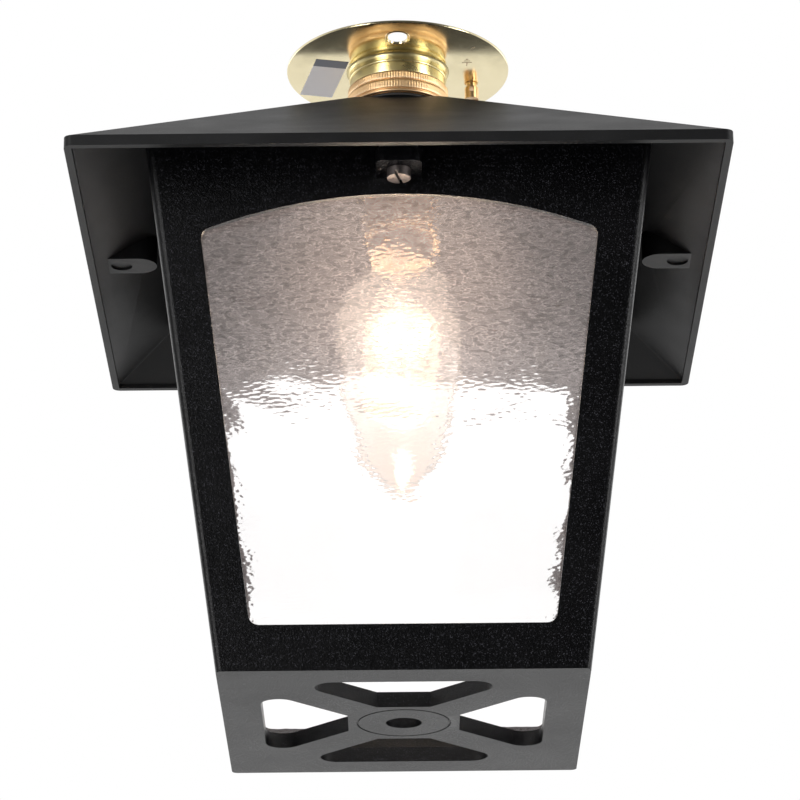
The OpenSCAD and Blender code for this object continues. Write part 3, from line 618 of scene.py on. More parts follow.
# %% Profiles turned round an axis
def soften(corners, radius, steps=4):
    """Rounds each corner of a closed outline. Between the two points that lie radius from the corner along
    its sides, or half a side where that is less, runs the curve (1-t)^2 a + 2t(1-t) corner + t^2 b."""
    here = np.asarray(corners, float)
    before, after = np.roll(here, 1, axis=0) - here, np.roll(here, -1, axis=0) - here
    back, on = np.linalg.norm(before, axis=1)[:, None], np.linalg.norm(after, axis=1)[:, None]
    reach = np.minimum(radius, 0.499 * np.minimum(back, on))
    a, b = here + before / back * reach, here + after / on * reach
    t = np.linspace(0, 1, steps + 1)[None, :, None]
    curve = (1 - t) ** 2 * a[:, None] + 2 * t * (1 - t) * here[:, None] + t ** 2 * b[:, None]
    return curve.reshape(-1, 2)


def turned(profile, steps, ridges=0, depth=0.0, band=0.0):
    """A closed outline of (radius, height) turned round Z: x = r cos a, y = r sin a. With ridges, the radius
    drops by depth x (1 - cos(ridges a)) / 2, times a band weight for each point of the outline."""
    r, z = profile.T
    angle = np.linspace(0, 2 * np.pi, steps, endpoint=False)[:, None]
    radius = r - depth * band * (1 - np.cos(ridges * angle)) / 2
    points = np.stack([radius * np.cos(angle), radius * np.sin(angle), np.broadcast_to(z, radius.shape)],
                      axis=-1)
    return points, grid_faces(steps, len(r), True, True)


def tube(path, radius, sides, axis=(0.0, 0.0, 1.0)):
    """A circle carried along a path. Its plane is square to the path, and its first direction is the
    path's direction x axis. There is one radius for each point, and 0 closes an end."""
    ahead = np.gradient(path, axis=0)
    ahead /= np.linalg.norm(ahead, axis=1)[:, None]
    side = np.cross(ahead, axis)
    side /= np.linalg.norm(side, axis=1)[:, None]
    over = np.cross(side, ahead)
    a = np.linspace(0, 2 * np.pi, sides, endpoint=False)[None, :, None]
    ring = np.cos(a) * side[:, None] + np.sin(a) * over[:, None]
    return path[:, None] + radius[:, None, None] * ring, grid_faces(len(path), sides, False, True)


print("turned and tube ready")

# %% [markdown]
# Cast and machined pieces already have their exact shape in the frame, with every hole and rib. What they
# lack is softened edges, and those catch the light on the real thing. So such a piece is a copy of the
# frame's mesh with its triangles joined into flat faces again, and a Bevel modifier rounds the sharp edges.

# %% Dressed copies of the frame's meshes
EDGE_ANGLE = 30.0


def dressed(name, material, body, slot, width, segments=2):
    """A copy of a frame node with doubles merged, flat faces joined and edges bevelled by width mm."""
    mesh = frame["nodes"][name].data.copy()
    mesh.name = name + "_dressed"
    work = bmesh.new()
    work.from_mesh(mesh)
    bmesh.ops.remove_doubles(work, verts=work.verts, dist=2e-6)
    bmesh.ops.dissolve_limit(work, angle_limit=math.radians(0.4), verts=work.verts, edges=work.edges)
    bmesh.ops.recalc_face_normals(work, faces=work.faces)
    work.to_mesh(mesh)
    work.free()
    piece = finish_piece(mesh, material, body, slot, (name,), EDGE_ANGLE)
    bevel = piece.modifiers.new("soft_edges", "BEVEL")
    bevel.width, bevel.segments, bevel.limit_method = width * MM, segments, "ANGLE"
    bevel.angle_limit, bevel.harden_normals = math.radians(EDGE_ANGLE), True
    return piece


print("dressed ready")

# %% [markdown]
# ## The castings
# The roof is one casting: a shallow pyramid with a short fascia, a hub in the middle and four lugs under
# its rim. The body is another: four leaning window frames, two ears and an openwork bottom.

# %% Roof and body
roof = dressed("roof", ROOF_BLACK, "lantern", "roof_black", 0.30, 3)
body = dressed("body", BODY_BLACK, "lantern", "body_black", 0.30, 3)
print("roof and body:", len(roof.data.polygons), len(body.data.polygons), "faces before their bevels")

# %% [markdown]
# ## The ceiling plate
# A thin polished disc with a bright rim. Each punched slot leaves a low lip, and the earth sign is stamped
# beside its post. Both are so small that they are made as thin raised shapes of their own.

# %% Ceiling plate with its lips and earth sign
SLOT_W, SLOT_L, SLOT_AT = 7.6, 9.8, 28.0
LIP = np.array([[0.55, -0.86], [0.42, -1.02], [0.15, -1.10], [-0.15, -1.05], [-0.34, -0.9], [-0.42, -0.65],
                [-0.42, -0.12], [-0.02, -0.12], [-0.01, -0.88]])
SIGN = [(25.0, -5.2, 25.0, -7.9), (23.2, -8.0, 26.8, -8.0), (23.9, -9.3, 26.1, -9.3),
        (24.5, -10.6, 25.5, -10.6), (26.6, -19.2, 27.5, -20.0)]
SIGN_W, SIGN_LOW, SIGN_HIGH = 0.38, PLATE_UNDER - 0.06, PLATE_UNDER + 0.05


def slot_outline(width, length, points=64):
    """An upright slot's outline: two half circles of width / 2, (length - width) apart along Y."""
    a = np.linspace(0, 2 * np.pi, points, endpoint=False)
    run = np.where(np.sin(a) >= 0, 1, -1) * (length - width) / 2
    return np.stack([width / 2 * np.cos(a), width / 2 * np.sin(a) + run], axis=1)


def slot_lip(end):
    """A pressed lip round one fixing slot. Its section LIP, a closed outline of (outward, height) points with
    the rim 0.2 mm proud and a throat that goes up into the slot, is carried along the slot's outline."""
    outline = slot_outline(SLOT_W, SLOT_L)
    ahead = np.roll(outline, -1, axis=0) - np.roll(outline, 1, axis=0)
    outward = np.stack([ahead[:, 1], -ahead[:, 0]], axis=1) / np.linalg.norm(ahead, axis=1)[:, None]
    flat = outline[:, None] + outward[:, None] * LIP[None, :, :1]
    high = np.broadcast_to(LIP[None, :, 1], flat.shape[:2])
    points = np.concatenate([flat + np.array([0.0, end * SLOT_AT]), high[..., None]], axis=-1)
    return points, grid_faces(len(outline), len(LIP), True, True)


def bar(x0, y0, x1, y1):
    """A line of the sign between two points, as a closed box of 8 points."""
    start, end = np.array([x0, y0]), np.array([x1, y1])
    side = (end - start)[::-1] * (1, -1) / np.linalg.norm(end - start) * SIGN_W / 2
    flat = np.array([start - side, start + side, end + side, end - side])
    points = np.concatenate([np.column_stack([flat, np.full(4, h)]) for h in (SIGN_LOW, SIGN_HIGH)])
    faces = np.array([[0, 1, 2, 3], [4, 5, 6, 7], [0, 1, 5, 4], [1, 2, 6, 5], [2, 3, 7, 6], [3, 0, 4, 7]])
    return points, faces


dressed("ceiling_plate", PLATE_BRASS, "holder", "plate_brass", 0.22, 3)
shells("slot_lips", [slot_lip(end) for end in (-1, 1)], PLATE_BRASS, "holder", "plate_brass")
shells("earth_sign", [bar(*line) for line in SIGN], CAP_BRASS, "holder", "plate_brass")
print("plate, lips and sign made")

# %% [markdown]
# ## The lampholder and its rings
# Everything on the holder's axis was turned on a lathe, so a profile turned round Z is the natural way. The
# rings are knurled: their radius rises and falls with the angle, but only over a band of the profile.

# %% Holder cover
def arc(r, z, across, along, start, end, steps):
    """Points r + across x cos a, z + along x sin a, with a from start to end in half turns."""
    a = np.pi * np.linspace(start, end, steps)
    return np.stack([r + across * np.cos(a), z + along * np.sin(a)], axis=1)


def cover_profile():
    """Down the outside: a hollow foot of radius 1.5, a bead 0.5 proud, the skirt and its floor; then up the
    inside."""
    foot = arc(COVER_R + 1.5, PLATE_UNDER - 1.5, 1.5, 1.5, 0.5, 1, 9)
    bead = arc(COVER_R, PLATE_UNDER - 3.2, 0.5, 0.6, 0.5, -0.5, 11)
    heel = arc(COVER_R - 0.6, COVER_END + 0.6, 0.6, 0.6, 0, -0.5, 6)
    inside = np.array([[THREAD_R, COVER_END], [THREAD_R, COVER_END + 1], [COVER_R - 1, COVER_END + 1],
                       [COVER_R - 1, PLATE_UNDER - 0.01], [COVER_R, PLATE_UNDER - 0.01]])
    return np.concatenate([foot, bead, heel, inside])


shells("cover_shell", [turned(cover_profile(), 160)], COVER_BRASS, "holder", "plate_brass", ("holder_cover",))
print("cover made")

# %% Knurled rings
RIDGES = 116
KNURL_R = 18.6              # radius of both shade rings


def knurled_ring(title, node_name, body_name, outline, band, depth):
    """A closed (radius, height) outline turned round Z with ridges where the band weight isn't 0."""
    part = turned(outline, RIDGES * 8, RIDGES, depth, band)
    return shells(title, [part], RING_BRASS, body_name, "ring_brass", (node_name,), sharp=50)


def band_between(r, top, bottom, steps=5):
    """A knurled wall from top to bottom with a small chamfer at both ends, and its weights: 0 on the two
    chamfers' outer ends, 1 between them."""
    z = np.linspace(top - 0.3, bottom + 0.3, steps)
    wall = np.concatenate([[[r - 0.35, top]], np.stack([np.full(steps, r), z], axis=1), [[r - 0.35, bottom]]])
    return wall, np.r_[0.0, np.ones(steps), 0.0]


def bored(wall, weight, top, bottom):
    """Closes an outer wall through a bore of the thread's radius with small chamfers."""
    bore = np.array([[THREAD_R + 0.3, bottom], [THREAD_R, bottom + 0.25], [THREAD_R, top - 0.25],
                     [THREAD_R + 0.3, top]])
    return np.concatenate([bore, wall]), np.r_[np.zeros(len(bore)), weight]


def barrel_ring_outline():
    """A plain knurled ring, 3 mm high."""
    return bored(*band_between(18.05, COVER_END, BARREL_RING_END), COVER_END, BARREL_RING_END)


def upper_ring_outline():
    """From the top: a bevel, a knurled band, a narrow groove, and a smooth rolled lip, hollow underneath so
    that a dark gap shows over the roof."""
    top, low = BARREL_RING_END, UPPER_RING_END
    bevel = np.array([[17.7, top], [18.2, top - 0.55]])
    wall, weight = band_between(KNURL_R, top - 0.6, low + 1.45)
    groove = np.array([[18.1, low + 1.4], [18.1, low + 1.15]])
    lip = arc(18.05, low + 0.55, 0.55, 0.55, 0.45, -0.75, 12)
    hollow = np.array([[17.4, low + 0.8], [17.1, low + 0.8], [17.1, low]])
    smooth = np.concatenate([groove, lip, hollow])
    weights = np.r_[np.zeros(len(bevel)), weight, np.zeros(len(smooth))]
    return bored(np.concatenate([bevel, wall, smooth]), weights, top, low)


def lower_ring_outline():
    """A knurled band below and a smooth collar, 1.2 mm high, above."""
    top, low = LOWER_RING_TOP, LOWER_RING_TOP - 7.0
    wall, weight = band_between(KNURL_R, top - 1.2, low, 7)
    collar = np.array([[17.9, top], [18.1, top - 0.2], [18.1, top - 1.15]])
    return bored(np.concatenate([collar, wall]), np.r_[np.zeros(len(collar)), weight], top, low)


rings = [knurled_ring("barrel_ring_knurled", "barrel_ring", "holder", *barrel_ring_outline(), 0.14),
         knurled_ring("upper_ring_lipped", "upper_shade_ring", "holder", *upper_ring_outline(), 0.10),
         knurled_ring("lower_ring_knurled", "lower_shade_ring", "shade_ring", *lower_ring_outline(), 0.26)]
print("rings made:", [len(ring.data.polygons) for ring in rings], "faces")

# %% Washers, barrel, core, post and screws
SCREW_TURN = 53.0           # degrees from the frame's slots to the real ones


def turn_upright(piece, degrees):
    """Turns a piece's own mesh by this angle round the upright line through the middle of its box."""
    mesh = piece.data
    points = np.empty(len(mesh.vertices) * 3)
    mesh.vertices.foreach_get("co", points)
    points = points.reshape(-1, 3)
    middle = (points[:, :2].min(axis=0) + points[:, :2].max(axis=0)) / 2
    c, s = math.cos(math.radians(degrees)), math.sin(math.radians(degrees))
    points[:, :2] = (points[:, :2] - middle) @ np.array([[c, s], [-s, c]]) + middle
    mesh.vertices.foreach_set("co", points.ravel())
    mesh.update()


def washer(title, node_name, low):
    """A flat rubber ring with rounded edges, 0.9 mm thick."""
    outline = soften([[14.25, low], [17.0, low], [17.0, low + 0.9], [14.25, low + 0.9]], 0.3)
    return shells(title, [turned(outline, 96)], WASHER_RUBBER, "washers", "washer_rubber", (node_name,))


washer("upper_washer_soft", "upper_washer", ROOF_TOP)
washer("lower_washer_soft", "lower_washer", LOWER_RING_TOP)
dressed("holder_barrel", RING_BRASS, "holder", "ring_brass", 0.12, 2)
dressed("insulating_core", PORCELAIN, "holder", "porcelain", 0.35, 3)
dressed("earth_post", RING_BRASS, "holder", "ring_brass", 0.35, 3)
dressed("earth_screw", RING_BRASS, "holder", "ring_brass", 0.25, 3)
for end in ("front", "back"):
    dressed(end + "_terminal", RING_BRASS, "holder", "ring_brass", 0.25)
    dressed(end + "_terminal_screw", BRIGHT_STEEL, "holder", "bright_steel", 0.2)
    screw = dressed(end + "_body_screw", WORN_STEEL, "lantern", "bright_steel", 0.35, 3)
    turn_upright(screw, SCREW_TURN)
print("washers, barrel, core, post and screws made")

# %% [markdown]
# Each contact is a plunger with a domed tip, pressed down by a coil spring. The spring shortens when the lamp
# is pushed in; here each spring is made at rest, with a mesh of its own.

# %% Plungers and springs
PLUNGER_Y = 4.4
SHOULDER = (-43.7, -40.7)
CONTACT_Z = -51.5
SPRING_TOP = -29.2
COIL_R, COIL_TURNS, COIL_WIRE = 1.8, 7.5, 0.5


def plunger_profile():
    """A pin of radius 1.9 with a domed tip and a shoulder of radius 2.4, closed on its axis at both ends."""
    a = np.linspace(0, np.pi / 2, 8)
    dome = np.stack([1.9 * np.sin(a), CONTACT_Z + 0.7 * (1 - np.cos(a))], axis=1)
    rest = np.array([[1.9, SHOULDER[0]], [2.3, SHOULDER[0]], [2.4, SHOULDER[0] + 0.15],
                     [2.4, SHOULDER[1] - 0.15], [2.25, SHOULDER[1]], [0.0, SHOULDER[1]]])
    return np.concatenate([dome, rest])


def spring_path(low, high):
    """A helix whose end turns close up: height goes as t - sin(2 pi t) / (2 pi) x 0.55 between its ends."""
    t = np.linspace(0, 1, int(COIL_TURNS * 28))
    rise = t - 0.55 * np.sin(2 * np.pi * t) / (2 * np.pi)
    height = low + COIL_WIRE / 2 + (high - low - COIL_WIRE) * rise
    a = 2 * np.pi * COIL_TURNS * t
    return np.stack([COIL_R * np.cos(a), COIL_R * np.sin(a), height], axis=1)


def closed_ends(count, radius):
    """A tube's radii: 0 at both ends and radius between them."""
    return np.r_[0.0, np.full(count - 2, radius), 0.0]


for end, side in (("front", -1), ("back", 1)):
    shift = np.array([0.0, side * PLUNGER_Y, 0.0])
    points, faces = turned(plunger_profile(), 32)
    shells(end + "_plunger_pin", [(points + shift, faces)], RING_BRASS, "contact_plungers", "ring_brass",
           (end + "_plunger",))
    coil = spring_path(SHOULDER[1] + 0.05, SPRING_TOP - 0.05) + shift
    spring = shells(end + "_spring_coil", [tube(coil, closed_ends(len(coil), COIL_WIRE / 2), 8)],
                    BRIGHT_STEEL, "holder", "bright_steel", (end + "_spring",))
    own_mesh(spring)
print("plungers and springs made")

# %% [markdown]
# ## The label
# A paper sticker is never quite flat. A grid is bent so that one corner lifts by a tenth of a millimetre,
# and given the paper's thickness by a second grid.

# %% Label
def label_points(offset):
    """x across, y along, then z = underside of the plate - offset - a lift of up to 0.09 mm at one corner."""
    u, v = np.meshgrid(np.linspace(-1, 1, 13), np.linspace(-1, 1, 25), indexing="ij")
    lift = 0.09 * np.clip((u + v) / 2, 0, 1) ** 2
    x, y = u * LABEL_SIZE[0] / 2 * 0.995, v * LABEL_SIZE[1] / 2 * 0.995
    c, s = math.cos(LABEL_TURN), math.sin(LABEL_TURN)
    return np.stack([LABEL_AT[0] + c * x - s * y, LABEL_AT[1] + s * x + c * y, PLATE_UNDER - offset - lift],
                    axis=-1)


def slab(near, far):
    """Two grids of the same size joined round their edges into one closed shell."""
    rows, columns = near.shape[:2]
    sheet, edge = grid_faces(rows, columns), grid_rim(rows, columns)
    after = np.roll(edge, -1)
    strip = np.stack([edge, after, after + rows * columns, edge + rows * columns], axis=1)
    points = np.concatenate([near.reshape(-1, 3), far.reshape(-1, 3)])
    return points, np.concatenate([sheet, sheet[:, ::-1] + rows * columns, strip])


shells("label_sticker", [slab(label_points(0.01), label_points(0.11))], LABEL_PAPER, "holder", "label_paper",
       ("plain_label",))
print("label made")

# %% [markdown]
# ## The panes
# Rippled glass is rolled while hot, and its wavelets are wider than they are tall. Each pane's inner face is
# a grid whose depth comes from filtered noise: random numbers are turned into waves by a Fourier transform,
# only waves about 3 mm wide and 1.4 mm tall are kept, and they are turned back. Every pane has its own seed.

# %% Rippled panes
SIDES = ("front", "right", "back", "left")
PANE_LOW, PANE_HIGH = 5.04, 164.7
HALF_LOW, HALF_HIGH = 52.645, 72.405
RIPPLE_MOST = 0.9
RIPPLE_FADE = 4.0
FIRST_SEED = 11
# How wide and tall each kind of wave is in mm, and the spread of its sizes
WAVELETS, PATCHES, SWELLS = (3.2, 1.45, 0.5), (26.0, 16.0, 0.6), (34.0, 18.0, 0.4)


def filtered(source, step_x, step_y, wide, tall, spread):
    """Noise kept where (kx wide)^2 + (ky tall)^2 is near 1, k in waves per mm, as exp(-((q - 1) / spread)^2)
    of its square root q, and brought to a spread of 1."""
    ky = np.fft.fftfreq(source.shape[0], step_y)[:, None] * tall
    kx = np.fft.fftfreq(source.shape[1], step_x)[None, :] * wide
    q = np.sqrt(kx ** 2 + ky ** 2)
    field = np.fft.ifft2(np.fft.fft2(source) * np.exp(-((q - 1) / spread) ** 2)).real
    return field / field.std()


def ripples(rows, columns, step_x, step_y, seed):
    """The depth of the face in mm: 0.42 + 0.12 x long low swells + 0.026 x short wavelets, which are stronger
    and weaker in slow patches, wavelets x (0.75 + 0.25 patches). It is kept between 0 and RIPPLE_MOST."""
    source = np.random.default_rng(seed)
    fine, patch, swell = (source.standard_normal((rows, columns)) for _ in range(3))
    wavelets = filtered(fine, step_x, step_y, *WAVELETS)
    patches = filtered(patch, step_x, step_y, *PATCHES)
    swells = filtered(swell, step_x, step_y, *SWELLS)
    return np.clip(0.42 + 0.12 * swells + 0.026 * wavelets * (0.75 + 0.25 * patches), 0, RIPPLE_MOST)


def on_face(x, up, out, side):
    """A point in a face's frame, x across, up its slope and out of it, to millimetres in the lantern's
    frame: lean back by the taper, set at the body's edge, and turn by 90 degrees for each side."""
    sx, sy = x, -BODY_W / 2 - up * math.sin(TAPER) - out * math.cos(TAPER)
    z = BASE + up * math.cos(TAPER) - out * math.sin(TAPER)
    c, s = round(math.cos(math.pi / 2 * side)), round(math.sin(math.pi / 2 * side))
    return np.stack(np.broadcast_arrays(c * sx - s * sy, s * sx + c * sy, z), axis=-1)


def pane_mesh(title, side, rows=505, columns=187):
    """The inner face has ripples, which fade out towards its edge; the outer face is one flat polygon on the
    same edge points, so that the shell is closed."""
    v, u = np.meshgrid(np.linspace(0, 1, rows), np.linspace(-1, 1, columns), indexing="ij")
    tall = PANE_HIGH - PANE_LOW
    up, half = PANE_LOW + tall * v, HALF_LOW + (HALF_HIGH - HALF_LOW) * v
    waves = ripples(rows, columns, 2 * HALF_HIGH / columns, tall / rows, FIRST_SEED + side)
    edge = np.minimum((1 - np.abs(u)) * half, tall * np.minimum(v, 1 - v))
    inner = on_face(u * half, up, -WALL - PANE_T + waves * np.clip(edge / RIPPLE_FADE, 0, 1), side)
    rim = grid_rim(rows, columns)
    flat = on_face((u * half).ravel()[rim], up.ravel()[rim], -WALL, side)
    new = rows * columns + np.arange(len(rim))
    strip = np.stack([rim, np.roll(rim, -1), np.roll(new, -1), new], axis=1)
    faces = np.concatenate([grid_faces(rows, columns), strip]).tolist() + [new.tolist()]
    return closed_mesh(title, np.concatenate([inner.reshape(-1, 3), flat]), faces)


for side, name in enumerate(SIDES):
    pane = finish_piece(pane_mesh(name + "_pane_rippled", side), RIPPLED_GLASS, "lantern", "rippled_glass",
                        (name + "_pane",), sharp=60)
    pane.visible_shadow = False
    dressed(name + "_clips", DARK_STEEL, "lantern", "bright_steel", 0.15)
    dressed(name + "_clip_screws", DARK_STEEL, "lantern", "bright_steel", 0.2)
print("panes made,", len(pane.data.polygons), "faces each")

# %% [markdown]
# ## The lamp
# A clear candle lamp: a crimped brass cap with two pins, a black insulator with two solder pads, a thin glass
# bulb, and inside it a glass stem, three wires and a coiled filament. The bulb's outline is a neck that
# swells as a sine to its widest place, and then a nose that tapers to the tip.

# %% Bulb and stem
NECK_R, BELLY_R, GLASS_T = 10.2, 22.5, 0.8
STEM_END = -93.0
NECK_TOP = CAP_TOP - 9.0


def bulb_radius(z, wall):
    """Neck radius above the cap's end; below it, a rise to the belly as sin(t)^1.3; below that,
    belly x (1 - d^1.9)^0.55, where d goes from 0 at the belly to 1 at the tip. All less the wall."""
    t = np.clip((CAP_END - z) / (CAP_END - BELLY_Z), 0, 1)
    swell = NECK_R - wall + (BELLY_R - NECK_R) * np.sin(np.pi / 2 * t) ** 1.3
    d = np.clip((BELLY_Z - z) / (BELLY_Z - LAMP_TIP - wall), 0, 1)
    nose = (BELLY_R - wall) * np.maximum(0, 1 - d ** 1.9) ** 0.55
    return np.where(z > CAP_END, NECK_R - wall, np.where(z > BELLY_Z, swell, nose))


def bulb_wall(wall, steps=72):
    """Down one side of the glass from the neck's top to the tip, closer together at the tip."""
    z = NECK_TOP - (NECK_TOP - LAMP_TIP - wall) * np.sin(np.pi / 2 * np.linspace(0, 1, steps))
    line = np.stack([bulb_radius(z, wall), z], axis=1)
    line[-1, 0] = 0.0
    return line


def stem_profile():
    """A flare under the neck's top that narrows as a quarter circle to a rod, a pinch and a round bead."""
    a = np.linspace(0, np.pi / 2, 8)
    flare = np.stack([9.0 - 6.5 * np.sin(a) ** 0.8, NECK_TOP - 1.6 - 6.0 * (1 - np.cos(a))], axis=1)
    b = np.linspace(0.75 * np.pi, 0, 10)
    bead = np.stack([2.75 * np.sin(b), STEM_END - 2.75 * np.cos(b)], axis=1)
    rod = np.array([[2.5, STEM_END + 14], [1.9, STEM_END + 9], [2.1, STEM_END + 3]])
    return np.concatenate([[[0.0, NECK_TOP - 0.6], [9.0, NECK_TOP - 0.6]], flare, rod, bead])


bulb_profile = np.concatenate([bulb_wall(0.0), bulb_wall(GLASS_T)[::-1]])
for title, profile, steps, node_name in (("bulb_glass_shell", bulb_profile, 128, "lamp_glass"),
                                         ("lamp_stem_blown", stem_profile(), 48, "lamp_stem")):
    blown = shells(title, [turned(profile, steps)], BULB_GLASS, "lamp", "bulb_glass", (node_name,), sharp=60)
    blown.visible_shadow = False
print("bulb and stem made")

# %% Filament and its wires
FILAMENT_R = 9.0


def filament_path(turns=86, coil=0.27):
    """A coil wound round half a ring: centre (R cos s, R sin s), s from 0 to pi, and round it a circle
    of radius coil in the plane of the ring's radius and Z."""
    t = np.linspace(0, 1, turns * 9)
    s, a = np.pi * t, 2 * np.pi * turns * t
    radius = FILAMENT_R + coil * np.cos(a)
    return np.stack([radius * np.cos(s), radius * np.sin(s), BELLY_Z + coil * np.sin(a)], axis=1)


def wire_path(angle):
    """From the stem's bead a support bows out to the filament: a line with a sideways bow of
    0.15 sin(pi t) mm, in the upright plane at this angle."""
    t = np.linspace(0, 1, 24)
    start, end = np.array([1.5, STEM_END - 2.2]), np.array([FILAMENT_R - 0.3, BELLY_Z + 0.5])
    line = start + (end - start) * t[:, None]
    bow = line[:, 0] + 0.15 * np.sin(np.pi * t)
    return np.stack([bow * math.cos(angle), bow * math.sin(angle), line[:, 1]], axis=1)


coil = filament_path()
shells("filament_coil", [tube(coil, np.full(len(coil), 0.12), 5)], HOT_FILAMENT, "lamp", "hot_filament",
       ("filament",), sharp=80)
wires = [tube(wire_path(a), closed_ends(24, 0.2), 8, axis=(math.sin(a), -math.cos(a), 0))
         for a in (0, math.pi / 2, math.pi)]
shells("support_wires_bent", wires, WIRE_METAL, "lamp", "bright_steel", ("support_wires",))
print("filament of", len(coil), "steps made")

# %% Cap, pins, insulator and pads
PIN_Z = -58.5


def cap_profile():
    """Outside, from the insulator's edge down: a rounded shoulder, a wall with two crimped grooves, which are
    bell curves 0.22 and 0.16 mm deep, and a rolled lower edge; then up the inside."""
    z = np.linspace(CAP_TOP - 0.6, CAP_END + 0.5, 60)
    groove = (0.22 * np.exp(-((z - (CAP_END + 4.0)) / 0.5) ** 2)
              + 0.16 * np.exp(-((z - (CAP_TOP - 3.6)) / 0.45) ** 2))
    wall = np.stack([11.0 - groove, z], axis=1)
    shoulder = np.array([[10.42, CAP_TOP], [10.7, CAP_TOP - 0.02], [10.93, CAP_TOP - 0.25]])
    lower = np.array([[10.95, CAP_END + 0.2], [10.75, CAP_END], [10.5, CAP_END + 0.1], [10.4, CAP_END + 0.4],
                      [10.4, CAP_TOP - 0.3]])
    return np.concatenate([shoulder, wall, lower])


def pin_part(way):
    """A bayonet pin: a profile turned round X, from inside the cap's wall to a rounded end at 13.4 mm. way
    is 1, or -1 for the pin on the other side."""
    a = np.linspace(0, np.pi / 2, 6)
    r = np.r_[0.0, 1.1, 0.8 + 0.3 * np.cos(a), 0.0]
    x = np.r_[10.5, 10.5, 13.1 + 0.3 * np.sin(a), 13.4]
    turn = np.linspace(0, 2 * np.pi, 24, endpoint=False)[:, None]
    points = np.stack([np.broadcast_to(x, (24, len(x))), r * np.cos(turn), r * np.sin(turn) + PIN_Z], axis=-1)
    points[..., :2] *= way
    return points, grid_faces(24, len(x), True, False)


shells("lamp_cap_crimped", [turned(cap_profile(), 128), pin_part(1), pin_part(-1)], CAP_BRASS, "lamp",
       "cap_brass", ("lamp_cap",))
dressed("cap_insulator", CAP_BLACK, "lamp", "cap_black", 0.2)
dressed("cap_contacts", SOLDER, "lamp", "solder", 0.35, 3)
print("cap made")

# %% [markdown]
# ## Studio
# The lantern hangs over a pale floor, far enough below to stay out of most views. White surroundings show
# behind it and in its metal and glass. In front, where the camera stands, the studio is dark but for two tall
# soft boxes, one at each side of the camera. They keep the black faces black, and draw two upright lights
# down everything round and polished.

# %% Floor
FLOOR_LIFT = 0.12


def studio_floor(height, half):
    """A flat square floor, as a 2 x 2 grid. The camera and glass see it lifted towards white. So does metal
    behind the lantern; in front, metal sees the floor's colour painted dark grey, a painted shade for the
    studio's dark side."""
    x, y = np.meshgrid(np.linspace(-half, half, 3), np.linspace(-half, half, 3), indexing="ij")
    mesh = bpy.data.meshes.new("studio_floor")
    mesh.from_pydata(np.stack([x, y, np.full_like(x, height)], axis=-1).reshape(-1, 3).tolist(), [],
                     grid_faces(3, 3)[:, ::-1].tolist())
    material, tree, shader, place = new_material("floor_paint", (0.86, 0.86, 0.86), 0.8,
                                                 Specular_IOR_Level=0.2,
                                                 Emission_Color=(1.0, 1.0, 1.0, 1.0))
    patch = use(tree, COAT_GRAIN, place, 60.0)["Patch"]
    paint = blend(tree, patch, (0.85, 0.85, 0.85), (0.88, 0.88, 0.88))
    ray = node(tree, "LightPath").outputs
    lit = span(tree, axes(tree, place)["Y"], -0.6, 0.4)
    # Painted shade: in glossy rays the floor's colour is painted dark grey in front, standing in for the
    # studio's dark side there.
    dark = times(tree, ray["Is Glossy Ray"], minus(tree, 1.0, lit))
    seen = maths(tree, "MAXIMUM", ray["Is Camera Ray"], ray["Is Transmission Ray"])
    lift = maths(tree, "MAXIMUM", seen, times(tree, ray["Is Glossy Ray"], lit))
    feed(tree, shader, Base_Color=blend(tree, dark, paint, (0.06, 0.06, 0.06)),
         Emission_Strength=times(tree, lift, FLOOR_LIFT))
    mesh.materials.append(material)
    floor = bpy.data.objects.new("studio_floor", mesh)
    bpy.context.collection.objects.link(floor)
    return floor


floor = studio_floor(-2.2, 12.0)
print("floor at", round(floor.data.vertices[0].co.z, 2), "m")

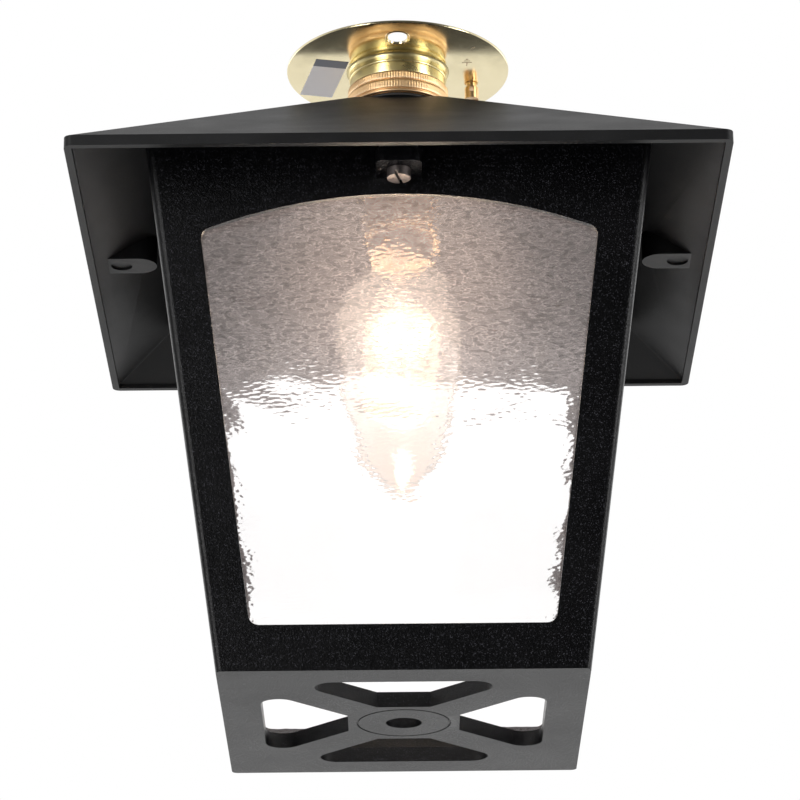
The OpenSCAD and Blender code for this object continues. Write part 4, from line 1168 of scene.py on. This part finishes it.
# %% Surroundings
def surroundings(ambient, front):
    """Camera and transmission rays see white. Glossy rays see white behind and beside the lantern, falling
    to front on the camera's side and dimmer overhead. Other rays get an even ambient level all round."""
    world = bpy.data.worlds.new("studio_white")
    world.use_nodes = True
    tree = world.node_tree
    background = tree.nodes["Background"]
    _, y, z = axes(tree, node(tree, "TexCoord").outputs["Generated"])
    back = times(tree, span(tree, y, -0.7, 0.1, front, 1.0), span(tree, z, 0.25, 0.75, 1.0, 0.6))
    ray = node(tree, "LightPath").outputs
    seen = maths(tree, "MAXIMUM", ray["Is Camera Ray"], ray["Is Transmission Ray"])
    mirrored = ray["Is Glossy Ray"]
    level = plus(tree, times(tree, back, mirrored), times(tree, minus(tree, 1.0, mirrored), ambient))
    feed(tree, background, Strength=maths(tree, "MAXIMUM", level, seen))
    background.inputs["Color"].default_value = (1.0, 1.0, 1.0, 1.0)
    bpy.context.scene.world = world


surroundings(ambient=0.85, front=0.08)
bpy.context.scene.view_settings.view_transform = "Standard"
print("surroundings white, view transform Standard")

# %% [markdown]
# An area lamp's brightness is its power spread over its face. The soft boxes are 1.7 m high, so that they
# reach below the ceiling's level and above it, and they are placed by their angle from the front. The two
# behind only brighten the outline. All of them light and are mirrored, but neither the camera nor the glass
# sees them directly.

# %% Lamps of the studio and the glow of the bulb
BOX_TALL = 1.7
AIM = Vector((0, 0, -0.1))


def add_light(name, kind, at, power, **values):
    """A light that neither the camera nor the glass sees."""
    data = bpy.data.lights.new(name, kind)
    data.energy = power
    for key, value in values.items():
        setattr(data, key, value)
    light = bpy.data.objects.new(name, data)
    light.location = at
    light.visible_camera = light.visible_transmission = False
    bpy.context.collection.objects.link(light)
    return light


def soft_box(name, angle, distance, height, width, power):
    """An upright rectangular lamp, angle degrees from the front towards the right, aimed at the lantern."""
    turn = math.radians(angle)
    at = Vector((distance * math.sin(turn), -distance * math.cos(turn), height))
    box = add_light(name, "AREA", at, power, shape="RECTANGLE", size=width, size_y=BOX_TALL)
    box.rotation_euler = (AIM - at).to_track_quat("-Z", "Y").to_euler()


soft_box("box_left", -36, 1.7, -0.15, 0.55, 18.0)
soft_box("box_right", 63, 1.7, -0.15, 0.60, 20.0)
soft_box("rim_left", -128, 1.9, -0.2, 0.9, 8.0)
soft_box("rim_right", 128, 1.9, -0.2, 0.9, 8.0)
add_light("lamp_glow", "POINT", (0.0, 0.004, BELLY_Z * MM), 0.8, color=(1.0, 0.78, 0.58),
          shadow_soft_size=0.012)
print("four soft boxes and the lamp's glow placed")
